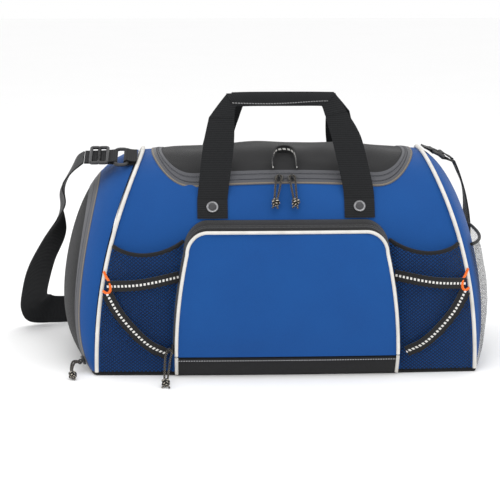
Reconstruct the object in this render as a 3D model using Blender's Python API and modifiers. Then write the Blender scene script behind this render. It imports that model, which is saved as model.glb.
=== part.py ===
"""Duffel bag: barrel body with a zipped lid, front pocket, shoe pocket, mesh pockets and straps.

Metres, +Z up.  The origin is the centre of the base's underside.  X runs along the bag, the
front faces -Y, the shoe pocket is at -X.  Every sewn panel is a grid laid on one of the body's
surface formulas and given its thickness by Solidify.
"""

from math import cos, pi, radians, sin

import bmesh
import bpy
import numpy as np
from mathutils import Matrix, Vector

# Body: the section is a superellipse, and the panels end at curved side seams.
HALF_DEPTH = 0.125
HEIGHT = 0.275
SECTION_POWER = 2.7
BOW = 0.04
END_DROP = 0.03
SEAM_BASE = 0.238
SEAM_TAPER = 0.062
SEAM_POWER = 2.2
FOOT_T = 0.0056
LEFT_BULGE = 0.056
RIGHT_BULGE = 0.026
PANEL = 0.003
GAP = 0.0003
SEAM_GAP = 0.0008

# Lid: straight front and back runs joined by elliptical ends.
LID_STRAIGHT = 0.108
LID_END = 0.062
LID_DEPTH = 0.088
LID_POWER = 2.6
FIXED_TAPE = 0.0083
LID_TAPE = 0.0130

# Shoe pocket, as shares of the end's outline.
BAND_SHARE = 0.90
TAPE_SHARE = 0.825
FLAP_SHARE = 0.82
SILL_TOP = 0.0275

# Front pocket.
POCKET_BOTTOM = 0.0265
POCKET_TOP = 0.180
POCKET_SIDE = 0.136
POCKET_NARROWING = 0.020
POCKET_CORNER = 0.024
POCKET_DEPTH = 0.016
POCKET_FLARE = 0.005
GUSSET_SIDE = 0.007
GUSSET_TOP = 0.014

# Webbing, piping and cord.
WEBBING = 0.019
WEBBING_T = 0.0016
STRIP_GAP = 0.0009
PIPING_R = 0.002
CORD_R = 0.0013
HANDLE_X = 0.092
HANDLE_LEAN = {-1: radians(12.0), 1: radians(21.0)}
HANDLE_SHARE = {-1: 0.91, 1: 0.865}
PIVOT_Z = 0.2175
RIVET_Z = 0.2085
RIVET_R = 0.0072
ROOT_LENGTH = 0.0135

BLUE = (0.045, 0.13, 0.42)
CHARCOAL = (0.05, 0.05, 0.052)
BLACK = (0.012, 0.012, 0.013)
GREY = (0.26, 0.26, 0.28)
CREAM = (0.75, 0.72, 0.66)
ORANGE = (0.9, 0.16, 0.02)
STEEL = (0.35, 0.35, 0.36)

parts = None
cutters = None


def start():
    global parts, cutters
    for obj in list(bpy.data.objects):
        bpy.data.objects.remove(obj, do_unlink=True)
    parts = bpy.data.collections.new("duffel_bag")
    cutters = bpy.data.collections.new("cutters")
    for collection in (parts, cutters):
        bpy.context.scene.collection.children.link(collection)


def material(name, colour, roughness, metallic):
    made = bpy.data.materials.new(name)
    made.use_nodes = True
    shader = made.node_tree.nodes["Principled BSDF"]
    shader.inputs["Base Color"].default_value = (*colour, 1.0)
    shader.inputs["Roughness"].default_value = roughness
    shader.inputs["Metallic"].default_value = metallic
    return made


def add(name, data, colour, roughness=0.85, metallic=0.0):
    obj = bpy.data.objects.new(name, data)
    data.materials.append(material(name, colour, roughness, metallic))
    parts.objects.link(obj)
    return obj


# Surfaces.


def seam_half(z):
    return SEAM_BASE - SEAM_TAPER * (max(z, 0.0) / HEIGHT) ** SEAM_POWER


def section(t):
    """Front foot to back foot over the ridge, t from 0 to 1."""
    c, s = cos(pi * t), sin(pi * t)
    k = (abs(c) ** SECTION_POWER + abs(s) ** SECTION_POWER) ** (-1 / SECTION_POWER)
    return -HALF_DEPTH * c * k, HEIGHT * s * k


def body_point(v, t):
    """Barrel panel, v from seam to seam (-1 to 1)."""
    y, z = section(t)
    y *= 1 + BOW * (1 - v * v)
    z *= 1 - END_DROP * v * v
    return Vector((v * seam_half(z), y, z))


def front_y(x, z):
    """The barrel's front surface above a point of the XZ plane."""
    v = min(1.0, abs(x) / seam_half(z))
    depth = HALF_DEPTH * (1 + BOW * (1 - v * v))
    height = HEIGHT * (1 - END_DROP * v * v)
    return -depth * max(0.0, 1 - (z / height) ** SECTION_POWER) ** (1 / SECTION_POWER)


def top_z(x, y):
    """The barrel's upper surface above a point of the XY plane."""
    z = HEIGHT
    for _ in range(12):
        v = min(1.0, abs(x) / seam_half(z))
        depth = HALF_DEPTH * (1 + BOW * (1 - v * v))
        height = HEIGHT * (1 - END_DROP * v * v)
        z = height * max(0.0, 1 - (abs(y) / depth) ** SECTION_POWER) ** (1 / SECTION_POWER)
    return z


def end_half_depth(z):
    height = HEIGHT * (1 - END_DROP)
    return HALF_DEPTH * max(1e-9, 1 - (z / height) ** SECTION_POWER) ** (1 / SECTION_POWER)


def end_x(side, y, z, proud=0.0):
    """The domed end, side -1 or 1."""
    height = HEIGHT * (1 - END_DROP)
    q = min(1.0, abs(y) / end_half_depth(z))
    across = max(0.0, 1 - q**2.2) ** 0.5
    upper = max(0.0, 1 - (z / height) ** 8) ** 0.5
    lower = 0.22 + 0.78 * (1 - np.exp(-z / 0.035))
    swell = LEFT_BULGE if side < 0 else RIGHT_BULGE
    return side * (seam_half(z) + SEAM_GAP + swell * across * upper * lower + proud)


def end_outline(share, t):
    y, z = section(t)
    return share * y, share * z * (1 - END_DROP)


def pocket_side(z):
    """Half width of the front pocket's face at a height."""
    shoulder = POCKET_TOP - POCKET_CORNER
    rise = (min(z, shoulder) - POCKET_BOTTOM) / (POCKET_TOP - POCKET_BOTTOM)
    side = POCKET_SIDE - POCKET_NARROWING * max(rise, 0.0) ** 2
    over = z - shoulder
    if over > 0:
        side += max(0.0, POCKET_CORNER**2 - over**2) ** 0.5 - POCKET_CORNER
    return side


def pocket_y(x, z, pillow=0.005):
    rise = (z - POCKET_BOTTOM) / (POCKET_TOP - POCKET_BOTTOM)
    across = 1 - (x / POCKET_SIDE) ** 2
    puff = pillow * max(0.0, across) * max(0.0, 4 * rise * (1 - rise))
    return front_y(x, z) - POCKET_DEPTH - POCKET_FLARE * max(rise, 0.0) - puff


def pocket_rim(s, side_grow, top_grow):
    """Round the pocket's face from its left foot over the top to its right foot."""
    foot, corner = 0.42, 0.72
    share = 1 - abs(2 * s - 1)
    sign = -1 if s < 0.5 else 1
    shoulder = POCKET_TOP - POCKET_CORNER
    if share < foot:
        z = POCKET_BOTTOM + 0.001 + (shoulder - POCKET_BOTTOM - 0.001) * share / foot
        return sign * (pocket_side(z) + side_grow), z
    middle = pocket_side(shoulder) - POCKET_CORNER
    turn = min(1.0, (share - foot) / (corner - foot)) * pi / 2
    x = middle + (POCKET_CORNER + side_grow) * cos(turn)
    z = shoulder + (POCKET_CORNER + top_grow) * sin(turn)
    if share > corner:
        x = middle * (1 - share) / (1 - corner)
    return sign * x, z


def rounded(value):
    """The sine or cosine of an angle, pushed out from a circle to a superellipse."""
    return abs(value) ** (2 / LID_POWER) * (1 if value > 0 else -1)


def lid_rim(inset, s):
    """Round the lid from its left rear corner, along the front, to its right rear corner."""
    a, b = LID_END - inset, LID_DEPTH - inset
    start_angle = radians(95)
    if s < 0.4:
        angle = start_angle + (radians(270) - start_angle) * s / 0.4
        return -LID_STRAIGHT + a * rounded(cos(angle)), b * rounded(sin(angle))
    if s <= 0.6:
        return LID_STRAIGHT * (s - 0.5) / 0.1, -b
    angle = radians(-90) + (radians(180) - start_angle + radians(90)) * (s - 0.6) / 0.4
    return LID_STRAIGHT + a * rounded(cos(angle)), b * rounded(sin(angle))


def lid_reach(x, inset):
    over = max(0.0, abs(x) - LID_STRAIGHT) / (LID_END - inset)
    return (LID_DEPTH - inset) * max(0.0, 1 - over**LID_POWER) ** (1 / LID_POWER)


# Builders.


def sheet(name, rows, columns, formula, thickness, colour, outward, **finish):
    """A grid of formula(u, v), u and v from 0 to 1, thickened away from its outward side."""
    mesh = bpy.data.meshes.new(name)
    grid = bmesh.new()
    bmesh.ops.create_grid(grid, x_segments=columns, y_segments=rows, size=0.5)
    for vertex in grid.verts:
        vertex.co = formula(vertex.co.x + 0.5, vertex.co.y + 0.5)
    bmesh.ops.remove_doubles(grid, verts=grid.verts, dist=1e-6)
    grid.normal_update()
    lean = sum((face.normal * face.calc_area() for face in grid.faces), Vector())
    if lean.dot(Vector(outward)) < 0:
        bmesh.ops.reverse_faces(grid, faces=grid.faces)
    grid.to_mesh(mesh)
    grid.free()
    obj = add(name, mesh, colour, **finish)
    solid = obj.modifiers.new("thickness", "SOLIDIFY")
    solid.thickness = thickness
    solid.offset = -1
    return obj


def tube(name, points, radius, colour, cyclic=False, resolution=2, **finish):
    curve = bpy.data.curves.new(name, "CURVE")
    curve.dimensions = "3D"
    curve.bevel_depth = radius
    curve.bevel_resolution = resolution
    curve.use_fill_caps = True
    spline = curve.splines.new("POLY")
    spline.points.add(len(points) - 1)
    for point, co in zip(spline.points, points):
        point.co = (*co, 1.0)
    spline.use_cyclic_u = cyclic
    return add(name, curve, colour, **finish)


def outline(name, loops, half_thickness, matrix, colour, **finish):
    """A flat piece: its outline and holes in its own XY plane, extruded both ways along Z."""
    curve = bpy.data.curves.new(name, "CURVE")
    curve.dimensions = "2D"
    curve.fill_mode = "BOTH"
    curve.extrude = half_thickness
    for loop in loops:
        spline = curve.splines.new("POLY")
        spline.points.add(len(loop) - 1)
        for point, (x, y) in zip(spline.points, loop):
            point.co = (x, y, 0.0, 1.0)
        spline.use_cyclic_u = True
    obj = add(name, curve, colour, **finish)
    obj.matrix_world = matrix
    return obj


def basis(origin, x_axis, y_axis):
    """A frame whose X and Y axes are given; Y is made square to X."""
    x_axis = Vector(x_axis).normalized()
    y_axis = Vector(y_axis)
    y_axis = (y_axis - x_axis * y_axis.dot(x_axis)).normalized()
    z_axis = x_axis.cross(y_axis)
    matrix = Matrix((x_axis, y_axis, z_axis)).transposed().to_4x4()
    matrix.translation = Vector(origin)
    return matrix


def prism(name, loop, low, high):
    """A vertical cutter with the outline given in the XY plane."""
    mesh = bpy.data.meshes.new(name)
    shape = bmesh.new()
    face = shape.faces.new([shape.verts.new((x, y, low)) for x, y in loop])
    top = bmesh.ops.extrude_face_region(shape, geom=[face])["geom"]
    lifted = [item for item in top if isinstance(item, bmesh.types.BMVert)]
    bmesh.ops.translate(shape, verts=lifted, vec=(0, 0, high - low))
    bmesh.ops.recalc_face_normals(shape, faces=shape.faces)
    shape.to_mesh(mesh)
    shape.free()
    obj = bpy.data.objects.new(name, mesh)
    obj.hide_render = True
    obj.display_type = "WIRE"
    cutters.objects.link(obj)
    return obj


def cut(obj, cutter, operation="DIFFERENCE"):
    boolean = obj.modifiers.new("cut", "BOOLEAN")
    boolean.operation = operation
    boolean.object = cutter


def smooth_path(points, count):
    """Catmull-Rom curve through rows of numbers, read at even steps of its length."""
    points = np.array(points, dtype=float)
    padded = np.vstack([2 * points[0] - points[1], points, 2 * points[-1] - points[-2]])
    fine = []
    for p0, p1, p2, p3 in zip(padded, padded[1:], padded[2:], padded[3:]):
        for t in np.linspace(0, 1, 24, endpoint=False):
            fine.append(
                0.5
                * (
                    2 * p1
                    + (p2 - p0) * t
                    + (2 * p0 - 5 * p1 + 4 * p2 - p3) * t**2
                    + (3 * p1 - p0 - 3 * p2 + p3) * t**3
                )
            )
    fine = np.array(fine + [points[-1]])
    steps = np.linalg.norm(np.diff(fine[:, :3], axis=0), axis=1)
    along = np.concatenate([[0], np.cumsum(steps)])
    wanted = np.linspace(0, along[-1], count)
    return np.stack([np.interp(wanted, along, column) for column in fine.T], axis=1)


def ribbon(name, rows, count, thickness, colour):
    """Webbing through rows of centre x, y, z and half-width vector x, y, z."""
    path = smooth_path(rows, count)

    def place(u, v):
        row = path[round(u * (count - 1))]
        return Vector(row[:3]) + Vector(row[3:]) * (2 * v - 1)

    obj = sheet(name, 2, count - 1, place, thickness, colour, (0, 0, 1))
    obj.modifiers["thickness"].offset = 0
    return obj


# Pieces of the body.


def base():
    def under(u, v):
        a, b = 2 * u - 1, 2 * v - 1
        side = -1 if a < 0 else 1
        y = b * HALF_DEPTH * (1 + BOW * (1 - a * a))
        swell = abs(end_x(side, b * HALF_DEPTH, 0.0)) - SEAM_BASE
        return Vector((a * SEAM_BASE + side * swell * abs(a) ** 8, y, 0.0))

    sheet("base_panel", 8, 24, under, PANEL, BLACK, (0, 0, -1))

    def board(u, v):
        return Vector((-0.172 + 0.404 * u, 0.224 * (v - 0.5), PANEL + GAP))

    sheet("base_board", 1, 1, board, PANEL, CHARCOAL, (0, 0, -1), roughness=0.6)


def barrel():
    opening = [lid_rim(-GAP, s) for s in np.linspace(0, 1, 49)]
    cutter = prism("lid_opening", opening, 0.15, 0.35)
    for name, low, high in (("front_panel", FOOT_T, 0.4985), ("back_panel", 0.5015, 1 - FOOT_T)):

        def place(u, v, low=low, high=high):
            return body_point(2 * u - 1, low + (high - low) * v)

        way = (0, -1, 0.3) if low < 0.4 else (0, 1, 0.3)
        panel = sheet(name, 12, 14, place, PANEL, BLUE, way)
        cut(panel, cutter)


def end_ring(name, side, outer, inner, colour, thickness, proud=0.0):
    def place(u, v):
        share = outer - (outer - inner) * v**1.6
        y, z = end_outline(share, FOOT_T + (1 - 2 * FOOT_T) * u)
        return Vector((end_x(side, y, z, proud), y, z))

    return sheet(name, 3, 24, place, thickness, colour, (side, 0, 0.4))


def left_end():
    end_ring("left_end_band", -1, 0.9985, BAND_SHARE + 0.001, BLUE, PANEL)
    end_ring("shoe_pocket_zip_tape", -1, BAND_SHARE - 0.001, TAPE_SHARE, GREY, 0.002)

    def sill(u, v):
        z = 0.0038 + (SILL_TOP - 0.0038) * v
        y = (2 * u - 1) * FLAP_SHARE * end_half_depth(z / FLAP_SHARE)
        return Vector((end_x(-1, y, z), y, z))

    sheet("shoe_pocket_sill", 3, 12, sill, PANEL, CHARCOAL, (-1, 0, 0))

    low = SILL_TOP + 0.0006
    first = low / (FLAP_SHARE * HEIGHT * (1 - END_DROP) * pi)

    def flap(u, v):
        y, z = end_outline(FLAP_SHARE, first + (1 - 2 * first) * u)
        z = max(z, low)
        y, z = y * v, low + (z - low) * v
        return Vector((end_x(-1, y, z), y, z))

    sheet("shoe_pocket_flap", 6, 20, flap, PANEL, CHARCOAL, (-1, 0, 0))

    ring = [section(t) for t in np.linspace(0.005, 0.995, 33)]
    loop = [(y * 0.965, z * (1 - END_DROP) - 0.0045) for y, z in ring]
    loop = [(y, max(z, PANEL + GAP)) for y, z in loop]
    place = basis((-0.1775, 0, 0), (0, 1, 0), (0, 0, 1))
    outline("shoe_pocket_divider", [loop], 0.00075, place, CHARCOAL)


def right_end():
    def place(u, v):
        share = 0.9985 * (1 - (1 - v) ** 2.6)
        y, z = end_outline(share, FOOT_T + (1 - 2 * FOOT_T) * u)
        return Vector((end_x(1, y, max(z, 0.0036)), y, max(z, 0.0036)))

    sheet("right_end_panel", 7, 20, place, 0.002, BLUE, (1, 0, 0.2))

    def pocket(u, v):
        z = 0.0038 + (0.158 - 0.0038) * v
        q = 0.95 * (2 * u - 1)
        y = q * end_half_depth(z)
        stand = 0.0008 + 0.009 * (1 - abs(q) ** 3) * min(1.0, 0.25 + 1.5 * v)
        return Vector((end_x(1, y, z, stand + 0.0012), y, z))

    sheet("end_mesh_pocket", 6, 12, pocket, 0.0012, BLACK, (1, 0, 0))
    rim = []
    for q in np.linspace(-0.95, 0.95, 22):
        z = 0.158 + 0.0025
        y = q * end_half_depth(z)
        stand = 0.0045 + 0.0075 * (1 - abs(q) ** 3)
        rim.append((end_x(1, y, z, stand), y, z))
    tube("end_pocket_binding", rim, PIPING_R, BLACK)


def seam_pipings():
    for name, side in (("left_piping", -1), ("right_piping", 1)):
        points = []
        for t in np.linspace(FOOT_T, 1 - FOOT_T, 32):
            here, ahead = body_point(side, t), body_point(side, t + 0.001)
            along = (ahead - here).normalized()
            out = Vector((0, -along.z, along.y)).normalized()
            if out.dot(Vector((0, here.y, here.z - 0.08))) < 0:
                out = -out
            points.append(here + out * (PIPING_R + GAP) + Vector((side * SEAM_GAP / 2, 0, 0)))
        tube(name, points, PIPING_R, CREAM, roughness=0.6)


def lid():
    def rim_sheet(name, outer, inner, colour, thickness, proud):
        def place(u, v):
            x, y = lid_rim(outer + (inner - outer) * v, u)
            return Vector((x, y, top_z(x, y) + proud))

        return sheet(name, 1, 40, place, thickness, colour, (0, 0, 1))

    rim_sheet("lid_opening_tape", GAP, FIXED_TAPE, GREY, 0.002, 0.0005)
    rim_sheet("lid_tape", FIXED_TAPE + 0.0005, LID_TAPE, GREY, 0.002, 0.0005)
    inset = LID_TAPE + 0.0012

    def panel(u, v):
        x = (LID_STRAIGHT + LID_END - inset) * sin((u - 0.5) * pi)
        reach = lid_reach(x, inset)
        rear = reach + (LID_TAPE - 0.0009) * min(1.0, max(0.0, (0.104 - abs(x)) / 0.006))
        y = -reach + (reach + rear) * v
        return Vector((x, y, top_z(x, y)))

    sheet("lid_panel", 8, 20, panel, PANEL, CHARCOAL, (0, 0, 1))

    arch = [(-0.0150, -0.0740), (-0.0150, -0.0640), (-0.0135, -0.0550), (-0.0085, -0.0480)]
    arch.append((0, -0.0455))
    arch += [(-x, y) for x, y in arch[-2::-1]]
    rows = []
    for x, y in arch:
        up = Vector((0, top_z(x, y - 0.001) - top_z(x, y + 0.001), 0.002)).normalized()
        foot = Vector((x, y, top_z(x, y))) + up * 0.0062
        rows.append((*foot, *(up * 0.0055)))
    ribbon("lid_pull_loop", rows, 17, 0.0015, BLACK)


def front_pocket():
    def face(u, v):
        z = POCKET_BOTTOM + 0.0008 + (POCKET_TOP - POCKET_BOTTOM - 0.0008) * sin(v * pi / 2)
        x = (2 * u - 1) * pocket_side(z)
        return Vector((x, pocket_y(x, z), z))

    sheet("front_pocket_panel", 10, 10, face, 0.0025, BLUE, (0, -1, 0))

    rim = []
    for s in np.linspace(0.002, 0.998, 44):
        x, z = pocket_rim(s, PIPING_R + GAP, PIPING_R + GAP)
        rim.append((x, pocket_y(x, min(z, POCKET_TOP), 0.0) - 0.0005, z))
    tube("front_pocket_piping", rim, PIPING_R, CREAM, roughness=0.6)

    def gusset(u, v):
        grow_side = 0.0025 + (GUSSET_SIDE - 0.0025) * v
        grow_top = 0.0025 + (GUSSET_TOP - 0.0025) * v
        x, z = pocket_rim(u, grow_side, grow_top)
        near = pocket_y(x, min(z, POCKET_TOP), 0.0) + 0.0022
        return Vector((x, near + (front_y(x, z) - 0.0020 - near) * v, z))

    sheet("front_pocket_gusset", 2, 44, gusset, 0.0015, BLACK, (0, -0.2, 1))

    def band(u, v):
        z = 0.0004 + (POCKET_BOTTOM - 0.001) * v
        x = (2 * u - 1) * POCKET_SIDE
        return Vector((x, pocket_y(x, POCKET_BOTTOM, 0.0) + 0.0005, z))

    block = sheet("front_pocket_band", 1, 14, band, 0.0142, BLACK, (0, -1, 0))
    block.modifiers["thickness"].use_even_offset = False


def mesh_inner(z):
    return pocket_side(min(z, POCKET_TOP - POCKET_CORNER)) + GUSSET_SIDE + 0.0025


def mesh_y(x, z):
    """Outer face of the side mesh pockets, which gape at their mouths."""
    outer = seam_half(z) - 0.0035
    inner = mesh_inner(z)
    u = min(1.0, max(0.0, (outer - abs(x)) / (outer - inner)))
    belly = (4 * u * (1 - u)) ** 0.6
    return front_y(x, z) - 0.0018 - 0.0125 * belly * min(1.0, max(0.0, z / 0.15)) ** 0.7


def mesh_top(u):
    return 0.160 - 0.045 * u * (1 - u) + 0.006 * u


def side_pockets():
    for name, side in (("left", -1), ("right", 1)):

        def place(u, v, side=side):
            z = 0.0038 + (mesh_top(u) - 0.0038) * v
            outer, inner = seam_half(z) - 0.0035, mesh_inner(z)
            x = side * (outer + (inner - outer) * u)
            return Vector((x, mesh_y(x, z), z))

        sheet(f"{name}_mesh_pocket", 9, 12, place, 0.0012, BLACK, (0, -1, 0))
        rim = []
        for u in np.linspace(0.0, 0.93, 16):
            z = mesh_top(u) + PIPING_R + 0.0010
            outer, inner = seam_half(z) - 0.0035, mesh_inner(z)
            x = side * (outer + (inner - outer) * u)
            rim.append((x, min(mesh_y(x, z), front_y(x, z) - PIPING_R - GAP), z))
        tube(f"{name}_pocket_binding", rim, PIPING_R, BLACK)

        upper = [(0.214, 0.1150), (0.190, 0.1175), (0.165, 0.1215), (0.1365, 0.1255)]
        lower = [(0.2125, 0.0920), (0.2060, 0.0800), (0.1880, 0.0580), (0.1610, 0.0330)]
        for level, path in (("upper", upper), ("lower", lower)):
            rows = []
            for i, (x, z) in enumerate(path):
                x0, z0 = path[max(i - 1, 0)]
                x1, z1 = path[min(i + 1, len(path) - 1)]
                across = Vector((-(z1 - z0), 0, x1 - x0)).normalized() * 0.0068
                rows.append((side * x, mesh_y(x, z) - 0.0036, z, side * across.x, 0, across.z))
            ribbon(f"{name}_{level}_elastic", rows, 15, 0.0015, BLACK)

        bend = [(0.2295, 0.1330), (0.2245, 0.1260), (0.2198, 0.1185), (0.2196, 0.1100)]
        bend += [(0.2235, 0.1065), (0.2305, 0.1085)]
        rows = [(side * x, min(front_y(x, z), mesh_y(x, z)) - 0.0048, z) for x, z in bend]
        tube(f"{name}_cord_loop", smooth_path(rows, 16), CORD_R, ORANGE)


# Handles.


def anchor_strip(name, x0, way, low, high):
    def place(u, v):
        x, z = x0 + WEBBING * (2 * u - 1), low + (high - low) * v
        return Vector((x, way * (-front_y(x, z) + WEBBING_T + STRIP_GAP), z))

    rows = 2 if way < 0 else 12
    sheet(name, rows, 2, place, WEBBING_T, BLACK, (0, way, 0.2))


def rivet(name, x, way):
    y = -front_y(x, RIVET_Z)
    rise = (-front_y(x, RIVET_Z + 0.001) + front_y(x, RIVET_Z - 0.001)) / 0.002
    out = Vector((0, 1, -rise)).normalized()
    centre = Vector((x, y, RIVET_Z)) + out * (WEBBING_T + STRIP_GAP + GAP + 0.001)
    if way < 0:
        out.y, centre.y = -out.y, -centre.y
    mesh = bpy.data.meshes.new(name)
    shape = bmesh.new()
    turn = out.to_track_quat("Z", "Y").to_matrix().to_4x4()
    turn.translation = centre
    bmesh.ops.create_cone(
        shape, cap_ends=True, segments=20, radius1=RIVET_R, radius2=RIVET_R * 0.85, depth=0.002,
        matrix=turn,
    )
    shape.to_mesh(mesh)
    shape.free()
    add(name, mesh, STEEL, roughness=0.35, metallic=1.0)


def handle_loops(low, share):
    """Front view of a handle, in metres along its width and up from its pivot."""
    outer = [(-0.111, low), (-0.109, 0.020), (-0.103, 0.075), (-0.095, 0.114), (-0.072, 0.1467)]
    outer += [(0.062, 0.1467), (0.075, 0.125), (0.090, 0.098), (0.098, 0.075), (0.109, 0.020)]
    outer += [(0.111, low), (0.073, low), (0.071, 0.020), (0.059, 0.080), (0.047, 0.1297)]
    outer += [(-0.063, 0.1297), (-0.064, 0.075), (-0.071, 0.020), (-0.073, low)]
    return [(x, y if y == low else y * share) for x, y in outer]


def pivot_point(way, h):
    y = -front_y(HANDLE_X, PIVOT_Z) + GAP + WEBBING_T / 2
    lean = HANDLE_LEAN[way]
    return Vector((0, way * (y - h * sin(lean)), PIVOT_Z + h * cos(lean)))


def handles():
    for way, where in ((-1, "front"), (1, "back")):
        low = 0.1960 if way < 0 else 0.0038
        for side, hand in ((-1, "left"), (1, "right")):
            x = side * HANDLE_X
            anchor_strip(f"{where}_handle_anchor_{hand}", x, way, low, PIVOT_Z - 0.0014)
            rivet(f"{where}_rivet_{hand}", x, way)
        up = Vector((0, -way * sin(HANDLE_LEAN[way]), cos(HANDLE_LEAN[way])))
        place = basis(pivot_point(way, 0), (-way, 0, 0), up)
        start_height = 0.0010 if way < 0 else ROOT_LENGTH + 0.0010
        loop = handle_loops(start_height, HANDLE_SHARE[way])
        outline(f"{where}_handle", [loop], 0.001, place, BLACK)
        if way < 0:
            continue
        for side, hand in ((-1, "left"), (1, "right")):
            inner, outer = side * (HANDLE_X - WEBBING), side * (HANDLE_X + WEBBING)
            top = ROOT_LENGTH - 0.0014
            loop = [(-inner, 0.0010), (-outer, 0.0010), (-outer, top), (-inner, top)]
            outline(f"back_handle_root_{hand}", [loop], 0.001, place, BLACK)


# Sliders and their pulls.


def slider(name, origin, travel, out, stand):
    """Zip slider: a body along its travel and a lug whose hole faces along hole_axis."""
    place = basis(origin, travel, Vector(out).cross(Vector(travel)))
    mesh = bpy.data.meshes.new(name)
    shape = bmesh.new()
    bmesh.ops.create_cube(shape, size=1.0)
    bmesh.ops.scale(shape, vec=(0.012, 0.0068, 0.0048), verts=shape.verts)
    bmesh.ops.translate(shape, vec=(0, 0, stand + 0.0024), verts=shape.verts)
    bmesh.ops.bevel(
        shape, geom=shape.edges[:], offset=0.0012, segments=2, profile=0.5, affect="EDGES"
    )
    shape.transform(place)
    shape.to_mesh(mesh)
    shape.free()
    return add(name, mesh, BLACK, roughness=0.4)


def lug(body, centre, hole_axis):
    """A round eye on the slider, with its hole along hole_axis."""
    turn = Vector(hole_axis).to_track_quat("Z", "Y").to_matrix().to_4x4()
    turn.translation = centre
    for radius, depth, operation in ((0.0032, 0.0024, "UNION"), (0.0019, 0.01, "DIFFERENCE")):
        mesh = bpy.data.meshes.new("eye")
        shape = bmesh.new()
        bmesh.ops.create_cone(
            shape, cap_ends=True, segments=14, radius1=radius, radius2=radius, depth=depth,
            matrix=turn,
        )
        shape.to_mesh(mesh)
        shape.free()
        tool = bpy.data.objects.new(f"eye_{operation.lower()}", mesh)
        tool.hide_render = True
        tool.display_type = "WIRE"
        cutters.objects.link(tool)
        cut(body, tool, operation)


def pull(name, eye, hole_axis, route, knot_radius):
    """A cord looped through an eye; both strands follow the route to a knot at its end."""
    spread = Vector(hole_axis).normalized()
    eye = Vector(eye)
    route = [Vector(point) for point in route]
    first = (route[0] - eye).normalized()
    half = 0.0045
    strand = [eye + spread * half + first * half]
    for i, point in enumerate(route):
        width = half + (0.0016 - half) * (i + 1) / len(route)
        strand.append(point + spread * width)
    down = smooth_path(strand, 8)
    bend = [eye + first * half * (1 - cos(a)) + spread * half * sin(a) for a in
            (0, radians(30), radians(60))]
    near_side = [tuple(p) for p in bend] + [tuple(p) for p in down]

    def mirrored(point):
        offset = Vector(point) - eye
        return Vector(point) - 2 * spread * offset.dot(spread)

    points = [tuple(mirrored(p)) for p in reversed(near_side)][:-1] + near_side
    curve = tube(name, points, CORD_R, BLACK, roughness=0.7)
    depsgraph = bpy.context.evaluated_depsgraph_get()
    mesh = bpy.data.meshes.new_from_object(curve.evaluated_get(depsgraph))
    mesh.name = name
    shape = bmesh.new()
    shape.from_mesh(mesh)
    bmesh.ops.remove_doubles(shape, verts=shape.verts, dist=1e-6)
    shape.to_mesh(mesh)
    shape.free()
    old = curve.data
    bpy.data.objects.remove(curve)
    bpy.data.curves.remove(old)
    cord = bpy.data.objects.new(name, mesh)
    parts.objects.link(cord)
    ball = bpy.data.meshes.new("knot")
    shape = bmesh.new()
    bmesh.ops.create_uvsphere(shape, u_segments=12, v_segments=8, radius=knot_radius)
    bmesh.ops.translate(shape, vec=route[-1], verts=shape.verts)
    shape.to_mesh(ball)
    shape.free()
    knot = bpy.data.objects.new(f"{name}_knot", ball)
    knot.hide_render = True
    knot.display_type = "WIRE"
    cutters.objects.link(knot)
    cut(cord, knot, "UNION")
    return cord


def sliders():
    y = -LID_DEPTH + 0.0049
    for side, hand in ((-1, "left"), (1, "right")):
        x = side * 0.008
        slope = Vector((0, 0.002, top_z(x, y + 0.001) - top_z(x, y - 0.001))).normalized()
        out = Vector((0, -slope.z, slope.y))
        foot = Vector((x, y, top_z(x, y)))
        body = slider(f"lid_slider_{hand}", foot, (1, 0, 0), out, 0.0013)
        eye = foot + out * 0.0083
        lug(body, eye, (1, 0, 0))
        knot = Vector((side * 0.0125 - 0.001, -0.1085, 0.2160))
        middle = eye.lerp(knot, 0.5) + out * 0.001
        pull(f"lid_pull_{hand}", eye, (1, 0, 0), [middle, knot], 0.0050)

    z = 0.0365
    x = -(pocket_side(z) + 0.0046)
    y = pocket_y(x, z, 0.0) + 0.0066
    body = slider("front_pocket_slider", (x, y, z), (0.06, 0, 1), (-1, -0.25, 0.06), 0.0012)
    eye = Vector((x - 0.0062, y - 0.0058, z))
    lug(body, eye, (1, 0, 0))
    route = [(x - 0.0085, y - 0.016, 0.0270), (x - 0.0100, y - 0.031, 0.0125)]
    route.append((x - 0.0110, y - 0.0430, 0.0056))
    pull("front_pocket_pull", eye, (1, 0, 0), route, 0.0052)

    share, t = 0.862, 0.0225
    y, z = end_outline(share, t)
    foot = Vector((end_x(-1, y, z), y, z))
    up = Vector((end_x(-1, y, z + 0.01) - foot.x, 0, 0.01))
    out = Vector((-1, -0.55, -0.2))
    body = slider("shoe_pocket_slider", foot, up, out, 0.0014)
    normal = (out - up.normalized() * out.dot(up.normalized())).normalized()
    eye = foot + normal * 0.0077
    across = normal.cross(up)
    across.z = 0
    across.normalize()
    lug(body, eye, across)
    route = [eye + Vector((-0.0075, -0.0065, 0.001)), eye + Vector((-0.0095, -0.0180, -0.0045))]
    route.append(Vector((eye.x - 0.0075, eye.y - 0.0310, 0.0056)))
    pull("shoe_pocket_pull", eye, across, route, 0.0052)


# Shoulder strap.


def strap_frame(side):
    """Where a strap tab leaves the seam: out along X, the section's tangent across."""
    t = 0.395 if side < 0 else 0.505
    here, ahead = body_point(side, t), body_point(side, t + 0.002)
    across = (ahead - here).normalized()
    out = Vector((-1, 0, 0)) if side < 0 else Vector((cos(radians(24)), 0, -sin(radians(24))))
    lift = 0.0034 if side < 0 else 0.0042
    matrix = basis(here + Vector((side * 0.0044, 0, 0)), out, across)
    up = matrix.col[2].xyz * (1 if matrix.col[2].z > 0 else -1)
    matrix.translation = matrix.translation + up * lift
    return matrix, up


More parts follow.
